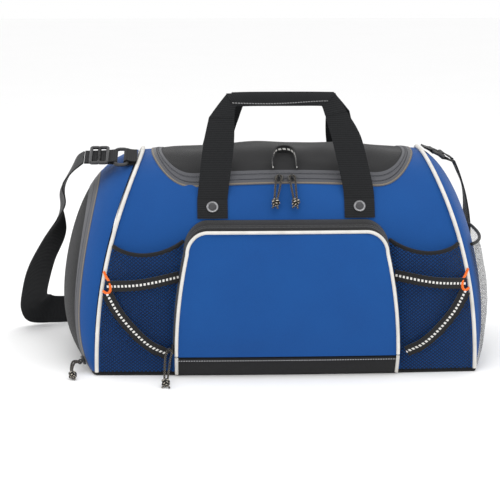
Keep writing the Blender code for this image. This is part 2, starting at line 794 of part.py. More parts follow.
def eye_profile(start_x, eye_x, hole):
    """A webbing end in side view: a strip that ends in a loop round a bar."""
    half, radius = 0.0011, hole + 0.0011
    way = 1 if eye_x > start_x else -1
    angles = np.linspace(pi - 0.31, -(pi - 0.31), 19)
    ring = [(eye_x + way * radius * cos(a), radius * sin(a)) for a in angles]
    bore = [(eye_x + hole * cos(a), hole * sin(a)) for a in np.linspace(0, 2 * pi, 17)[:-1]]
    return [[(start_x, half)] + ring + [(start_x, -half)], bore]


def strap_ends():
    ends = []
    bar, reach = 0.0125, 0.0275
    for side, hand in ((-1, "left"), (1, "right")):
        matrix, up = strap_frame(side)
        out, across = matrix.col[0].xyz, matrix.col[1].xyz
        profile = basis(matrix.translation, out, up)
        outline(f"strap_tab_{hand}", eye_profile(0.0, bar, 0.0026), 0.0165, profile, BLACK)
        ring = []
        corners = ((reach, 0.0170), (bar, 0.0170), (bar, -0.0170), (reach, -0.0170))
        centre_x, half_x, half_y, round_r = (bar + reach) / 2, (reach - bar) / 2, 0.0222, 0.006
        for k, (cx, cy) in enumerate(((1, 1), (-1, 1), (-1, -1), (1, -1))):
            for a in np.linspace(0, pi / 2, 6):
                angle = k * pi / 2 + a
                px = centre_x + cx * (half_x - round_r) + round_r * cos(angle)
                py = cy * (half_y - round_r) + round_r * sin(angle)
                ring.append(matrix.translation + out * px + across * py)
        tube(f"strap_ring_{hand}", ring, 0.0019, BLACK, cyclic=True, roughness=0.35)
        tail = 0.0665 if side < 0 else 0.0410
        name = f"strap_end_{hand}"
        outline(name, eye_profile(tail, reach, 0.0026), 0.0165, profile, BLACK)
        ends.append(matrix.translation + out * (tail + (0.0012 if side < 0 else 0.0026)))
        if side < 0:
            frame = basis(matrix.translation + up * 0.0027, out, across)
            slots = [[(0.036, -0.023), (0.060, -0.023), (0.060, 0.023), (0.036, 0.023)]]
            slots.append([(0.0392, -0.0198), (0.0462, -0.0198), (0.0462, 0.0198), (0.0392, 0.0198)])
            slots.append([(0.0498, -0.0198), (0.0568, -0.0198), (0.0568, 0.0198), (0.0498, 0.0198)])
            outline("strap_adjuster", slots, 0.0013, frame, BLACK, roughness=0.35)
    return ends


STRAP_ROUTE = [
    # centre x, y, z and half-width vector x, y, z
    (-0.2680, -0.0320, 0.2530, 0.0030, 0.0170, 0.0080),
    (-0.2800, -0.0120, 0.2310, 0.0040, 0.0175, 0.0060),
    (-0.2880, 0.0120, 0.2000, -0.0040, 0.0165, 0.0060),
    (-0.3020, 0.0400, 0.1480, 0.0150, 0.0090, 0.0060),
    (-0.3230, 0.0680, 0.1030, 0.0180, 0.0030, 0.0050),
    (-0.3350, 0.0950, 0.0650, 0.0185, 0.0010, 0.0060),
    (-0.3400, 0.1180, 0.0380, 0.0185, 0.0000, 0.0120),
    (-0.3330, 0.1330, 0.0250, 0.0150, 0.0020, 0.0190),
    (-0.3100, 0.1440, 0.0205, 0.0030, 0.0010, 0.0190),
    (-0.2600, 0.1520, 0.0200, 0.0000, 0.0000, 0.0190),
    (-0.1200, 0.1560, 0.0200, 0.0000, 0.0000, 0.0190),
    (0.0200, 0.1540, 0.0200, 0.0000, 0.0000, 0.0190),
    (0.1300, 0.1580, 0.0205, 0.0000, 0.0000, 0.0190),
    (0.1950, 0.1620, 0.0320, -0.0040, 0.0010, 0.0185),
    (0.2420, 0.1450, 0.0650, -0.0080, 0.0060, 0.0160),
    (0.2620, 0.1080, 0.1100, -0.0040, 0.0140, 0.0120),
    (0.2600, 0.0720, 0.1580, -0.0020, 0.0170, 0.0080),
    (0.2500, 0.0400, 0.2020, 0.0000, 0.0175, 0.0060),
    (0.2360, 0.0160, 0.2340, 0.0000, 0.0180, 0.0020),
]


def shoulder_strap():
    left, right = strap_ends()
    left_across = strap_frame(-1)[0].col[1].xyz * 0.0165
    right_across = strap_frame(1)[0].col[1].xyz * 0.0165
    rows = [(*left, *left_across), *STRAP_ROUTE, (*right, *right_across)]
    ribbon("shoulder_strap", rows, 64, WEBBING_T, BLACK)


def smooth_shading():
    for obj in parts.objects:
        if obj.type == "MESH":
            obj.data.shade_smooth()
            obj.data.set_sharp_from_angle(angle=radians(40))


def main():
    start()
    base()
    barrel()
    left_end()
    right_end()
    seam_pipings()
    lid()
    front_pocket()
    side_pockets()
    handles()
    sliders()
    shoulder_strap()
    smooth_shading()


main()
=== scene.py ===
# %% [markdown]
# # A duffel bag, piece by piece
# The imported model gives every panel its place.  Each soft solid in it is replaced here by a
# cloth surface worked out from the same formulas, with its weave, stitches and zip added.

from math import cos, pi, radians, sin

import bmesh
import bpy
import numpy as np
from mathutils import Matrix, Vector


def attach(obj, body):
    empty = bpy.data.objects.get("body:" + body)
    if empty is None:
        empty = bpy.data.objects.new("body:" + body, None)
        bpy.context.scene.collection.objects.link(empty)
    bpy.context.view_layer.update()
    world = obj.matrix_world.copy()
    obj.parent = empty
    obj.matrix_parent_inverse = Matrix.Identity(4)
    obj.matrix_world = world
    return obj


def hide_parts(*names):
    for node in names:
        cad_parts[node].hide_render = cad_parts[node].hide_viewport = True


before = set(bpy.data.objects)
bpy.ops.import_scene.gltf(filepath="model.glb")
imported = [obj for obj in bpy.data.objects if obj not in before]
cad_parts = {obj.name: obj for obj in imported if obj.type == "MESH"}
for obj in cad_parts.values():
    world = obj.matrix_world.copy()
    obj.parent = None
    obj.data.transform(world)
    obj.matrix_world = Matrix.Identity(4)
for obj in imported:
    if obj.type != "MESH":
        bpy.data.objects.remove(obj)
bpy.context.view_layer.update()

# %% [markdown]
# ## Camera, floor and light
# A long lens from two metres keeps the ends of the bag from flaring.  One broad light from
# above and in front, a weaker one on each side and a white surround give soft edges.

# %% Camera
TURN, RISE, AWAY = radians(-2.3), radians(11.5), 2.0
LOOK_AT = Vector((-0.041, 0.0, 0.1335))
lens = bpy.data.cameras.new("camera")
lens.lens = 108.7
camera = bpy.data.objects.new("camera", lens)
bpy.context.scene.collection.objects.link(camera)
camera.location = LOOK_AT + AWAY * Vector(
    (sin(TURN) * cos(RISE), -cos(TURN) * cos(RISE), sin(RISE))
)
camera.rotation_euler = (LOOK_AT - camera.location).to_track_quat("-Z", "Y").to_euler()
bpy.context.scene.camera = camera
bpy.context.scene.view_settings.view_transform = "Standard"
print("camera at", [round(c, 3) for c in camera.location])


# %% Lights and surround
def soft_light(name, place, target, size, watts):
    """A square area light of a size in metres that faces a point."""
    data = bpy.data.lights.new(name, "AREA")
    data.size, data.energy = size, watts
    lamp = bpy.data.objects.new(name, data)
    lamp.location = place
    lamp.rotation_euler = (Vector(target) - Vector(place)).to_track_quat("-Z", "Y").to_euler()
    bpy.context.scene.collection.objects.link(lamp)


soft_light("overhead", (0.1, -0.5, 2.0), (0, 0, 0.1), 1.6, 13)
soft_light("front", (-0.9, -2.2, 1.1), (0, 0, 0.12), 1.0, 7)
soft_light("right", (1.9, -1.2, 0.9), (0, 0, 0.12), 0.9, 5)
soft_light("left", (-2.0, 0.2, 0.9), (0, 0, 0.12), 0.9, 4)
world = bpy.data.worlds.new("surround")
world.use_nodes = True
world.node_tree.nodes["Background"].inputs["Color"].default_value = (1, 1, 1, 1)
world.node_tree.nodes["Background"].inputs["Strength"].default_value = 1.0
bpy.context.scene.world = world


# %% [markdown]
# ## Finishes
# A finish is a Principled material.  `Amount` wraps a socket so that shader maths reads like
# ordinary arithmetic, and `Finish` makes the nodes.  Cloth patterns read each piece's own UV
# map, which is in metres along and across the piece, so every thread has its true size.

# %% Shader arithmetic
class Amount:
    """A number that varies over a surface."""

    def __init__(self, finish, socket):
        self.finish, self.socket = finish, socket

    def op(self, kind, *others):
        return self.finish.maths(kind, self, *others)

    def __add__(self, other):
        return self.op("ADD", other)

    def __sub__(self, other):
        return self.op("SUBTRACT", other)

    def __rsub__(self, other):
        return self.finish.maths("SUBTRACT", other, self)

    def __mul__(self, other):
        return self.op("MULTIPLY", other)

    def __truediv__(self, other):
        return self.op("DIVIDE", other)

    __radd__, __rmul__ = __add__, __mul__

    def wave(self, period):
        """A ridge of height 0 to 1 that repeats every period."""
        return (self * (2 * pi / period)).op("COSINE") * 0.5 + 0.5

    def phase(self, period):
        return (self / period).op("FRACT")

    def near(self, middle, half):
        """1 within half of the middle, else 0."""
        return (self - middle).op("ABSOLUTE").op("LESS_THAN", half)

    def under(self, limit):
        return self.op("LESS_THAN", limit)

    def greater(self, other):
        return self.op("MAXIMUM", other)


class Finish:
    """A Principled material with methods for its nodes."""

    def __init__(self, name, shine=0.15, **fixed):
        self.material = bpy.data.materials.new(name)
        self.material.use_nodes = True
        self.tree = self.material.node_tree
        self.shader = self.tree.nodes["Principled BSDF"]
        for key, value in fixed.items():
            self.shader.inputs[key.replace("_", " ").title()].default_value = value
        self.shader.inputs["Specular IOR Level"].default_value = shine
        self.thread = self.make("ShaderNodeUVMap", {"uv_map": "cloth"})
        apart = self.make("ShaderNodeSeparateXYZ", {}, {"Vector": self.thread.outputs[0]})
        self.along = Amount(self, apart.outputs["X"])
        self.across = Amount(self, apart.outputs["Y"])

    def make(self, kind, settings, values=None):
        node = self.tree.nodes.new(kind)
        for key, value in settings.items():
            setattr(node, key, value)
        for key, value in (values or {}).items():
            self.plug(node.inputs[key], value)
        return node

    def plug(self, socket, value):
        if isinstance(value, Amount):
            value = value.socket
        if isinstance(value, bpy.types.NodeSocket):
            self.tree.links.new(value, socket)
        else:
            socket.default_value = (*value, 1.0) if isinstance(value, tuple) else value

    def maths(self, kind, *terms):
        node = self.make("ShaderNodeMath", {"operation": kind})
        for socket, term in zip(node.inputs, terms):
            self.plug(socket, term)
        return Amount(self, node.outputs[0])

    def noise(self, scale, detail=3.0, roughness=0.55):
        """Cloudy variation on the piece's own coordinates, scale per metre."""
        place = self.make("ShaderNodeTexCoord", {}).outputs["Object"]
        node = self.make(
            "ShaderNodeTexNoise",
            {},
            {"Vector": place, "Scale": scale, "Detail": detail, "Roughness": roughness},
        )
        return Amount(self, node.outputs[0])

    def mix(self, first, second, share):
        node = self.make("ShaderNodeMix", {"data_type": "RGBA"})
        self.plug(node.inputs[0], share)
        self.plug(node.inputs[6], first)
        self.plug(node.inputs[7], second)
        return node.outputs[2]

    def colour(self, value):
        self.plug(self.shader.inputs["Base Color"], value)

    def rough(self, value):
        self.plug(self.shader.inputs["Roughness"], value)

    def relief(self, height, distance, strength=1.0):
        """Bump of a height from 0 to 1, with its depth in metres."""
        node = self.make(
            "ShaderNodeBump", {}, {"Height": height, "Distance": distance, "Strength": strength}
        )
        self.plug(self.shader.inputs["Normal"], node.outputs[0])


# %% [markdown]
# ### Woven polyester
# The panels are a plain weave of about seven yarns a centimetre, coated inside.  The threads
# show as a fine check, and the cloth as slow clouds of lighter and darker colour.

# %% Woven cloth
def woven(name, deep, pale, yarn=0.0011, depth=0.00016):
    finish = Finish(name, roughness=0.8, sheen_weight=0.1, sheen_roughness=0.5)
    check = finish.along.wave(yarn) * finish.across.wave(yarn)
    other = (finish.along + yarn / 2).wave(yarn) * (finish.across + yarn / 2).wave(yarn)
    thread = check.greater(other)
    cloud = finish.noise(14.0) * 0.55 + finish.noise(900.0, 1.0) * 0.45
    finish.colour(finish.mix(deep, pale, cloud * 0.75 + thread * 0.25))
    finish.rough(cloud * 0.12 + 0.68)
    finish.relief(thread + finish.noise(320.0) * 0.5, depth, 0.7)
    return finish


blue_cloth = woven("blue_cloth", (0.003, 0.042, 0.185), (0.009, 0.088, 0.310)).material
charcoal_cloth = woven("charcoal_cloth", (0.010, 0.010, 0.011), (0.034, 0.034, 0.035)).material
flap_cloth = woven("flap_cloth", (0.004, 0.004, 0.005), (0.014, 0.014, 0.015)).material
black_cloth = woven("black_cloth", (0.003, 0.003, 0.004), (0.012, 0.012, 0.013)).material
lining_cloth = woven("lining_cloth", (0.025, 0.025, 0.027), (0.060, 0.060, 0.062)).material


# %% [markdown]
# ### Webbing, bindings and stitched tapes
# Webbing is ribbed across its length.  A row of stitches is a run of short bars at one place
# across the tape, so one function draws it for zips, ribbons and bands alike.

# %% Webbing
def stitches(finish, middle, pitch, share, half):
    """1 on a row of stitches at one height across the piece."""
    return finish.across.near(middle, half) * finish.along.phase(pitch).under(share)


def webbing(name, deep, pale, rib=0.0028, rows=()):
    finish = Finish(name, roughness=0.62, sheen_weight=0.1, sheen_roughness=0.4)
    ribs = finish.along.wave(rib)
    twill = (finish.along * 0.5 + finish.across).wave(0.0022)
    height = ribs * 0.75 + twill * 0.25
    shade = finish.mix(deep, pale, height * 0.7 + finish.noise(500.0, 1.0) * 0.4)
    for middle, colour in rows:
        seam = stitches(finish, middle, 0.0034, 0.72, 0.0006)
        shade = finish.mix(shade, colour, seam)
        height = height + seam * 0.6
    finish.colour(shade)
    finish.relief(height, 0.00030, 0.8)
    return finish


black_webbing = webbing("black_webbing", (0.002, 0.002, 0.003), (0.016, 0.017, 0.018)).material
grip_webbing = webbing(
    "grip_webbing",
    (0.002, 0.002, 0.003),
    (0.016, 0.017, 0.018),
    rows=((0.0145, (0.25, 0.25, 0.25)),),
).material
binding_tape = webbing(
    "binding_tape", (0.004, 0.004, 0.005), (0.018, 0.018, 0.019), rib=0.0016
).material


# %% Stitched elastic and pull ribbon
def stitched_ribbon(name, middle, pitch, share, half):
    finish = Finish(name, roughness=0.7, sheen_weight=0.2, sheen_roughness=0.5)
    ribs = finish.across.wave(0.0017) * 0.6 + finish.along.wave(0.0012) * 0.4
    dash = stitches(finish, middle, pitch, share, half)
    shade = finish.mix((0.004, 0.004, 0.005), (0.018, 0.018, 0.019), ribs)
    finish.colour(finish.mix(shade, (0.72, 0.71, 0.68), dash))
    finish.relief(ribs * 0.5 + dash, 0.0005, 0.8)
    return finish.material


elastic_ribbon = stitched_ribbon("elastic_ribbon", 0.0068, 0.0047, 0.55, 0.0015)
loop_ribbon = stitched_ribbon("loop_ribbon", 0.0055, 0.0060, 0.66, 0.0013)


# %% [markdown]
# ### Zip tape
# The tape is knitted in fine ribs.  Its coil runs along one edge, and the other edge is sewn
# down with a light thread.

# %% Zip tape
def zip_tape(name, coil_at, seam_at=None, grey=((0.050, 0.051, 0.058), (0.12, 0.122, 0.133))):
    finish = Finish(name, roughness=0.7, sheen_weight=0.2, sheen_roughness=0.5)
    ribs = finish.across.wave(0.0019) * 0.7 + finish.along.wave(0.0013) * 0.3
    shade = finish.mix(grey[0], grey[1], ribs * 0.6 + finish.noise(600.0, 1.0) * 0.4)
    teeth = finish.across.near(coil_at, 0.0007)
    coil = finish.along.wave(0.0016)
    shade = finish.mix(shade, finish.mix((0.006, 0.007, 0.014), (0.03, 0.032, 0.05), coil), teeth)
    height = ribs * 0.4 + teeth * coil
    if seam_at is not None:
        seam = stitches(finish, seam_at, 0.0030, 0.86, 0.0009)
        shade = finish.mix(shade, (0.23, 0.19, 0.145), seam)
        height = height + seam * 0.8
    finish.colour(shade)
    finish.relief(height, 0.0006, 0.9)
    return finish.material


# %% [markdown]
# ### Mesh
# The pocket mesh is a knitted net with six-sided holes.  Two slanted families of lines with
# thick crossings read as that net, and the holes are cut out with Alpha.

# %% Net
def net(name, high=0.0042, wide=0.0052, bar=0.24):
    finish = Finish(name, roughness=0.6, sheen_weight=0.2, sheen_roughness=0.4)
    rise = finish.across / high
    lean = finish.along / wide
    first = (rise + lean).op("FRACT") - 0.5
    second = (rise - lean).op("FRACT") - 0.5
    first, second = first.op("ABSOLUTE"), second.op("ABSOLUTE")
    solid = first.under(bar / 2).greater(second.under(bar / 2))
    knot = (first + second).under(bar * 0.95)
    fabric = solid.greater(knot)
    finish.plug(finish.shader.inputs["Alpha"], fabric)
    finish.colour(finish.mix((0.002, 0.002, 0.003), (0.008, 0.008, 0.010), knot))
    finish.relief(knot + solid * 0.5, 0.0004, 0.8)
    return finish.material


black_net = net("black_net")


# %% [markdown]
# ### Piping, cords, plastic and metal
# Piping is a cream vinyl skin over a core.  Pull cords are braided from dark and cream yarns:
# bands that wind round the cord both ways, with the cream where they cross.

# %% Round trims
def vinyl(name, deep, pale):
    finish = Finish(name, 0.5, roughness=0.5)
    grime = finish.noise(60.0)
    finish.colour(finish.mix(deep, pale, grime))
    finish.relief(finish.along.wave(0.0024) * 0.3 + finish.noise(900.0) * 0.6, 0.0002, 0.5)
    return finish.material


cream_vinyl = vinyl("cream_vinyl", (0.50, 0.48, 0.44), (0.78, 0.76, 0.72))


def braid(name, ground, fleck, share, strands=4.0, lay=0.012):
    finish = Finish(name, roughness=0.65, sheen_weight=0.2, sheen_roughness=0.5)
    left = (finish.along / lay + finish.across).phase(1 / strands)
    right = (finish.along / lay - finish.across).phase(1 / strands)
    yarn = (left - 0.5).op("ABSOLUTE") + (right - 0.5).op("ABSOLUTE")
    lit = left.under(share) * right.under(share + 0.2)
    finish.colour(finish.mix(ground, fleck, lit))
    finish.relief(yarn, 0.0004, 0.8)
    return finish.material


pull_cord = braid("pull_cord", (0.006, 0.005, 0.004), (0.45, 0.40, 0.33), 0.22)
knot_cord = braid("knot_cord", (0.006, 0.005, 0.004), (0.55, 0.50, 0.42), 0.32, 3.0, 0.010)
orange_cord = braid("orange_cord", (0.72, 0.10, 0.010), (0.95, 0.24, 0.03), 0.5)


# %% Plastic and metal
def moulded(name, colour, roughness):
    finish = Finish(name, 0.5)
    worn = finish.noise(180.0)
    finish.colour(finish.mix(colour, tuple(c * 2.2 + 0.004 for c in colour), worn))
    finish.rough(worn * 0.2 + roughness)
    finish.relief(finish.noise(1500.0), 0.00005, 0.4)
    return finish.material


black_plastic = moulded("black_plastic", (0.010, 0.010, 0.011), 0.22)
board_plastic = moulded("board_plastic", (0.035, 0.035, 0.037), 0.6)
nickel = Finish("nickel", 0.5, metallic=1.0)
worn = nickel.noise(400.0)
nickel.colour(nickel.mix((0.16, 0.16, 0.17), (0.42, 0.42, 0.43), worn))
nickel.rough(worn * 0.2 + 0.22)
nickel.relief(worn, 0.00008, 0.5)
nickel = nickel.material
dark_well = moulded("dark_well", (0.02, 0.02, 0.022), 0.4)
pale_floor = Finish("pale_floor", roughness=0.9)
pale_floor.colour(pale_floor.mix((0.96, 0.96, 0.96), (0.98, 0.98, 0.98), pale_floor.noise(3.0)))
print(len(bpy.data.materials), "materials")

# %% Floor
floor_mesh = bpy.data.meshes.new("floor")
floor_mesh.from_pydata([(-9, -9, 0), (9, -9, 0), (9, 9, 0), (-9, 9, 0)], [], [(0, 1, 2, 3)])
floor_mesh.materials.append(pale_floor.material)
floor = bpy.data.objects.new("floor", floor_mesh)
bpy.context.scene.collection.objects.link(floor)


# %% [markdown]
# ## Helpers: surfaces, tubes and ribbons
# A surface is an array of points, rows by columns.  Its faces and its UV map, the distances
# walked along the rows and columns, come from whole-array arithmetic.

# %% Grids to meshes
def walked(points):
    """Distance along the columns and down the rows, in metres, for every point."""
    along = np.linalg.norm(np.diff(points, axis=1), axis=2)
    down = np.linalg.norm(np.diff(points, axis=0), axis=2)
    along = np.concatenate([np.zeros((len(points), 1)), np.cumsum(along, axis=1)], axis=1)
    down = np.concatenate([np.zeros((1, points.shape[1])), np.cumsum(down, axis=0)], axis=0)
    return np.stack([along, down], axis=2)


def normals(points):
    """Unit normals of a grid, from the cross product of its two directions."""
    n = np.cross(np.gradient(points, axis=1), np.gradient(points, axis=0))
    return n / np.maximum(np.linalg.norm(n, axis=2, keepdims=True), 1e-12)


def grid_mesh(name, points, uv, ring=False, caps=False, mask=None, flip=False):
    """Quads between neighbours; ring joins the last column to the first."""
    rows, cols = points.shape[:2]
    wide = cols - 1 if ring else cols
    i, j = np.meshgrid(np.arange(rows - 1), np.arange(cols - 1), indexing="ij")
    if mask is not None:
        i, j = i[mask], j[mask]
    i, j = i.ravel(), j.ravel()
    corner_i = np.stack([i, i, i + 1, i + 1], axis=1)
    corner_j = np.stack([j, j + 1, j + 1, j], axis=1)
    if flip:
        corner_i, corner_j = corner_i[:, ::-1], corner_j[:, ::-1]
    faces = (corner_i * wide + corner_j % wide).tolist()
    loops = uv[corner_i.ravel(), corner_j.ravel()]
    if caps:
        order = np.arange(wide)
        first, last = order[::-1], order + (rows - 1) * wide
        if flip:
            first, last = first[::-1], last[::-1]
        faces += [first.tolist(), last.tolist()]
        loops = np.vstack([loops, uv[0, first], uv[rows - 1, last - (rows - 1) * wide]])
    mesh = bpy.data.meshes.new(name)
    mesh.from_pydata(points[:, :wide].reshape(-1, 3).tolist(), [], faces)
    layer = mesh.uv_layers.new(name="cloth")
    layer.data.foreach_set("uv", np.ascontiguousarray(loops, dtype=np.float32).ravel())
    return mesh


def face_out(mesh):
    """Turns a closed mesh's faces outwards, where its volume comes out negative."""
    mesh.calc_loop_triangles()
    tri = np.empty(len(mesh.loop_triangles) * 3, dtype=np.int32)
    mesh.loop_triangles.foreach_get("vertices", tri)
    co = np.empty(len(mesh.vertices) * 3)
    mesh.vertices.foreach_get("co", co)
    a, b, c = (co.reshape(-1, 3)[tri[k::3]] for k in range(3))
    if np.einsum("ij,ij->i", a, np.cross(b, c)).sum() < 0:
        mesh.flip_normals()


def piece(name, mesh, material, body, nodes=(), thickness=None, sharp=42):
    """Puts a mesh in the scene with its finish, slot, wall, body and replaced nodes."""
    made = bpy.data.objects.new(name, mesh)
    bpy.context.scene.collection.objects.link(made)
    mesh.materials.append(material)
    if thickness:
        wall = made.modifiers.new("wall", "SOLIDIFY")
        wall.thickness, wall.offset = thickness, -1
        baked = bpy.data.meshes.new_from_object(
            made.evaluated_get(bpy.context.evaluated_depsgraph_get())
        )
        made.modifiers.clear()
        made.data = baked
        baked.name = name
    made.data.shade_smooth()
    made.data.set_sharp_from_angle(angle=radians(sharp))
    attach(made, body)
    if nodes:
        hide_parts(*nodes)
    print(f"{name}: {len(made.data.polygons)} faces")
    return made


def cloth(name, points, material, body, nodes=(), outward=(0, -1, 0), thickness=0.0015, **more):
    """A sheet: the grid faces outward and its wall goes inward."""
    lean = normals(points).reshape(-1, 3).sum(axis=0) @ np.array(outward)
    uv = more.pop("uv", None)
    if uv is None:
        uv = walked(points)
    mesh = grid_mesh(name, points, uv, mask=more.pop("mask", None), flip=lean < 0)
    return piece(name, mesh, material, body, nodes, thickness, **more)


def frames_along(path, hint=(0, 0, 1)):
    """Unit tangent, side and up vectors along a path, with the side carried from the hint."""
    tangent = np.gradient(path, axis=0)
    tangent /= np.linalg.norm(tangent, axis=1, keepdims=True)
    side = np.cross(tangent, np.broadcast_to(np.array(hint, float), tangent.shape))
    side /= np.maximum(np.linalg.norm(side, axis=1, keepdims=True), 1e-9)
    return tangent, side, np.cross(side, tangent)


def tube(name, path, radius, material, body, nodes=(), around=14, hint=(0, 0, 1), closed=False):
    """A round trim: circles of the radius, square to the path."""
    path = np.asarray(path, float)
    if closed:
        path = np.vstack([path[-1:], path, path[:2]])
    _, side, up = frames_along(path, hint)
    if closed:
        path, side, up = path[1:-1], side[1:-1], up[1:-1]
    angle = np.linspace(0, 2 * pi, around + 1)
    radius = np.broadcast_to(np.asarray(radius, float), (len(path),))
    turn = angle[None, :, None]
    ring = np.cos(turn) * side[:, None] + np.sin(turn) * up[:, None]
    points = path[:, None] + ring * radius[:, None, None]
    steps = np.concatenate([[0], np.cumsum(np.linalg.norm(np.diff(path, axis=0), axis=1))])
    uv = np.stack(np.broadcast_arrays(steps[:, None], angle[None] / (2 * pi)), axis=2)
    if closed:
        points[-1] = points[0]
    mesh = grid_mesh(name, points, uv, ring=True, caps=not closed)
    if closed:
        work = bmesh.new()
        work.from_mesh(mesh)
        bmesh.ops.remove_doubles(work, verts=work.verts, dist=1e-6)
        work.to_mesh(mesh)
        work.free()
    face_out(mesh)
    return piece(name, mesh, material, body, nodes, sharp=60)


def smooth_path(points, count):
    """Catmull-Rom curve through rows of numbers, read at even steps of its length."""
    points = np.array(points, dtype=float)
    padded = np.vstack([2 * points[0] - points[1], points, 2 * points[-1] - points[-2]])
    t = np.linspace(0, 1, 24, endpoint=False)[None, :, None]
    p0, p1, p2, p3 = (padded[k : len(padded) - 3 + k][:, None] for k in range(4))
    fine = 0.5 * (
        2 * p1
        + (p2 - p0) * t
        + (2 * p0 - 5 * p1 + 4 * p2 - p3) * t**2
        + (3 * p1 - p0 - 3 * p2 + p3) * t**3
    )
    fine = np.vstack([fine.reshape(-1, points.shape[1]), points[-1:]])
    steps = np.linalg.norm(np.diff(fine[:, :3], axis=0), axis=1)
    along = np.concatenate([[0], np.cumsum(steps)])
    wanted = np.linspace(0, along[-1], count)
    return np.stack([np.interp(wanted, along, column) for column in fine.T], axis=1)


def ribbon(name, rows, count, thickness, material, body, node):
    """Webbing through rows of centre and half-width vector."""
    path = smooth_path(rows, count)
    v = np.linspace(-1, 1, 9)
    points = path[:, None, :3] + path[:, None, 3:] * v[None, :, None]
    points = points.transpose(1, 0, 2)
    points = points + normals(points) * (thickness / 2)
    piece(name, grid_mesh(name, points, walked(points)), material, body, (node,), thickness)


# %% [markdown]
# ## The bag's shape
# The section is a superellipse, 250 mm deep and 275 mm high.  The barrel bows out a little
# halfway along and drops a little towards its seams, which are curved lines themselves.

# %% Shape formulas
HALF_DEPTH, HEIGHT, POWER = 0.125, 0.275, 2.7
LID_STRAIGHT, LID_END, LID_DEPTH, LID_POWER = 0.108, 0.062, 0.088, 2.6
FIXED_TAPE, LID_TAPE = 0.0083, 0.0130
POCKET_BOTTOM, POCKET_TOP, POCKET_SIDE = 0.0265, 0.180, 0.136
POCKET_CORNER = 0.024
GAP = 0.0003


def seam_half(z):
    return 0.238 - 0.062 * (np.maximum(z, 0.0) / HEIGHT) ** 2.2


def section(t):
    """Front foot to back foot over the ridge, t from 0 to 1."""
    c, s = np.cos(pi * t), np.sin(pi * t)
    k = (np.abs(c) ** POWER + np.abs(s) ** POWER) ** (-1 / POWER)
    return -HALF_DEPTH * c * k, HEIGHT * s * k


def body_points(v, t):
    """Barrel surface, v from seam to seam, t round the section."""
    y, z = section(t)
    y = y * (1 + 0.04 * (1 - v * v))
    z = z * (1 - 0.03 * v * v)
    return np.stack(np.broadcast_arrays(v * seam_half(z), y, z), axis=-1)


def front_y(x, z):
    v = np.minimum(1.0, np.abs(x) / seam_half(z))
    depth = HALF_DEPTH * (1 + 0.04 * (1 - v * v))
    height = HEIGHT * (1 - 0.03 * v * v)
    return -depth * np.maximum(0.0, 1 - (np.maximum(z, 0) / height) ** POWER) ** (1 / POWER)


def top_z(x, y):
    z = np.full(np.broadcast(x, y).shape, HEIGHT)
    for _ in range(12):
        v = np.minimum(1.0, np.abs(x) / seam_half(z))
        depth = HALF_DEPTH * (1 + 0.04 * (1 - v * v))
        height = HEIGHT * (1 - 0.03 * v * v)
        z = height * np.maximum(0.0, 1 - (np.abs(y) / depth) ** POWER) ** (1 / POWER)
    return z


def end_half_depth(z):
    return HALF_DEPTH * np.maximum(1e-9, 1 - (z / (HEIGHT * 0.97)) ** POWER) ** (1 / POWER)


def end_x(side, y, z, proud=0.0):
    """The domed end, side -1 or 1."""
    q = np.minimum(1.0, np.abs(y) / end_half_depth(z))
    across = np.maximum(0.0, 1 - q**2.2) ** 0.5
    upper = np.maximum(0.0, 1 - (z / (HEIGHT * 0.97)) ** 8) ** 0.5
    lower = 0.22 + 0.78 * (1 - np.exp(-z / 0.035))
    swell = np.where(np.asarray(side) < 0, 0.056, 0.026)
    return side * (seam_half(z) + 0.0008 + swell * across * upper * lower + proud)


def end_outline(share, t):
    y, z = section(t)
    return share * y, share * z * 0.97


def ripples(points, size, seed, low=0.03, high=0.11, count=9):
    """Moves a grid along its normals by a sum of seeded waves of 30 to 110 mm."""
    rng = np.random.default_rng(seed)
    total = np.zeros(points.shape[:2])
    for _ in range(count):
        way = rng.normal(size=3)
        way *= 2 * pi / rng.uniform(low, high) / np.linalg.norm(way)
        total += np.sin(points @ way + rng.uniform(0, 2 * pi)) / count**0.5
    u = np.linspace(0, 1, points.shape[1])[None]
    v = np.linspace(0, 1, points.shape[0])[:, None]
    calm = np.minimum(1, 14 * u * (1 - u)) * np.minimum(1, 14 * v * (1 - v))
    return points + normals(points) * (total * calm * size)[..., None]


# %% [markdown]
# ## Pull cords
# Each zip pull is a 2.6 mm braided cord through the slider's eye, knotted at its end.  It is
# made as two strands that meet in the eye, each a free cord of 38 to 52 mm, and one knot.

# %% Cords and knots
def knot(name, centre, radius, lean, material, body, nodes):
    """A fat overhand knot: a lobed ball wound with three turns."""
    a = np.linspace(0, 2 * pi, 41)[None]
    b = np.linspace(0.02, pi - 0.02, 25)[:, None]
    lobe = 1 + 0.13 * np.cos(3 * a + 2.2 * np.cos(b) * 2) * np.sin(b)
    ball = np.stack(
        [lobe * np.sin(b) * np.cos(a), lobe * np.sin(b) * np.sin(a), 1.12 * np.cos(b) + 0 * a],
        axis=2,
    )
    turn = np.array(Vector(lean).to_track_quat("Z", "Y").to_matrix())
    points = centre + radius * ball @ turn.T
    uv = walked(points)
    uv[..., 1] = a / (2 * pi)
    uv[..., 0] = b * radius
    mesh = grid_mesh(name, points, uv, ring=True, caps=True)
    face_out(mesh)
    return piece(name, mesh, material, body, nodes, sharp=80)


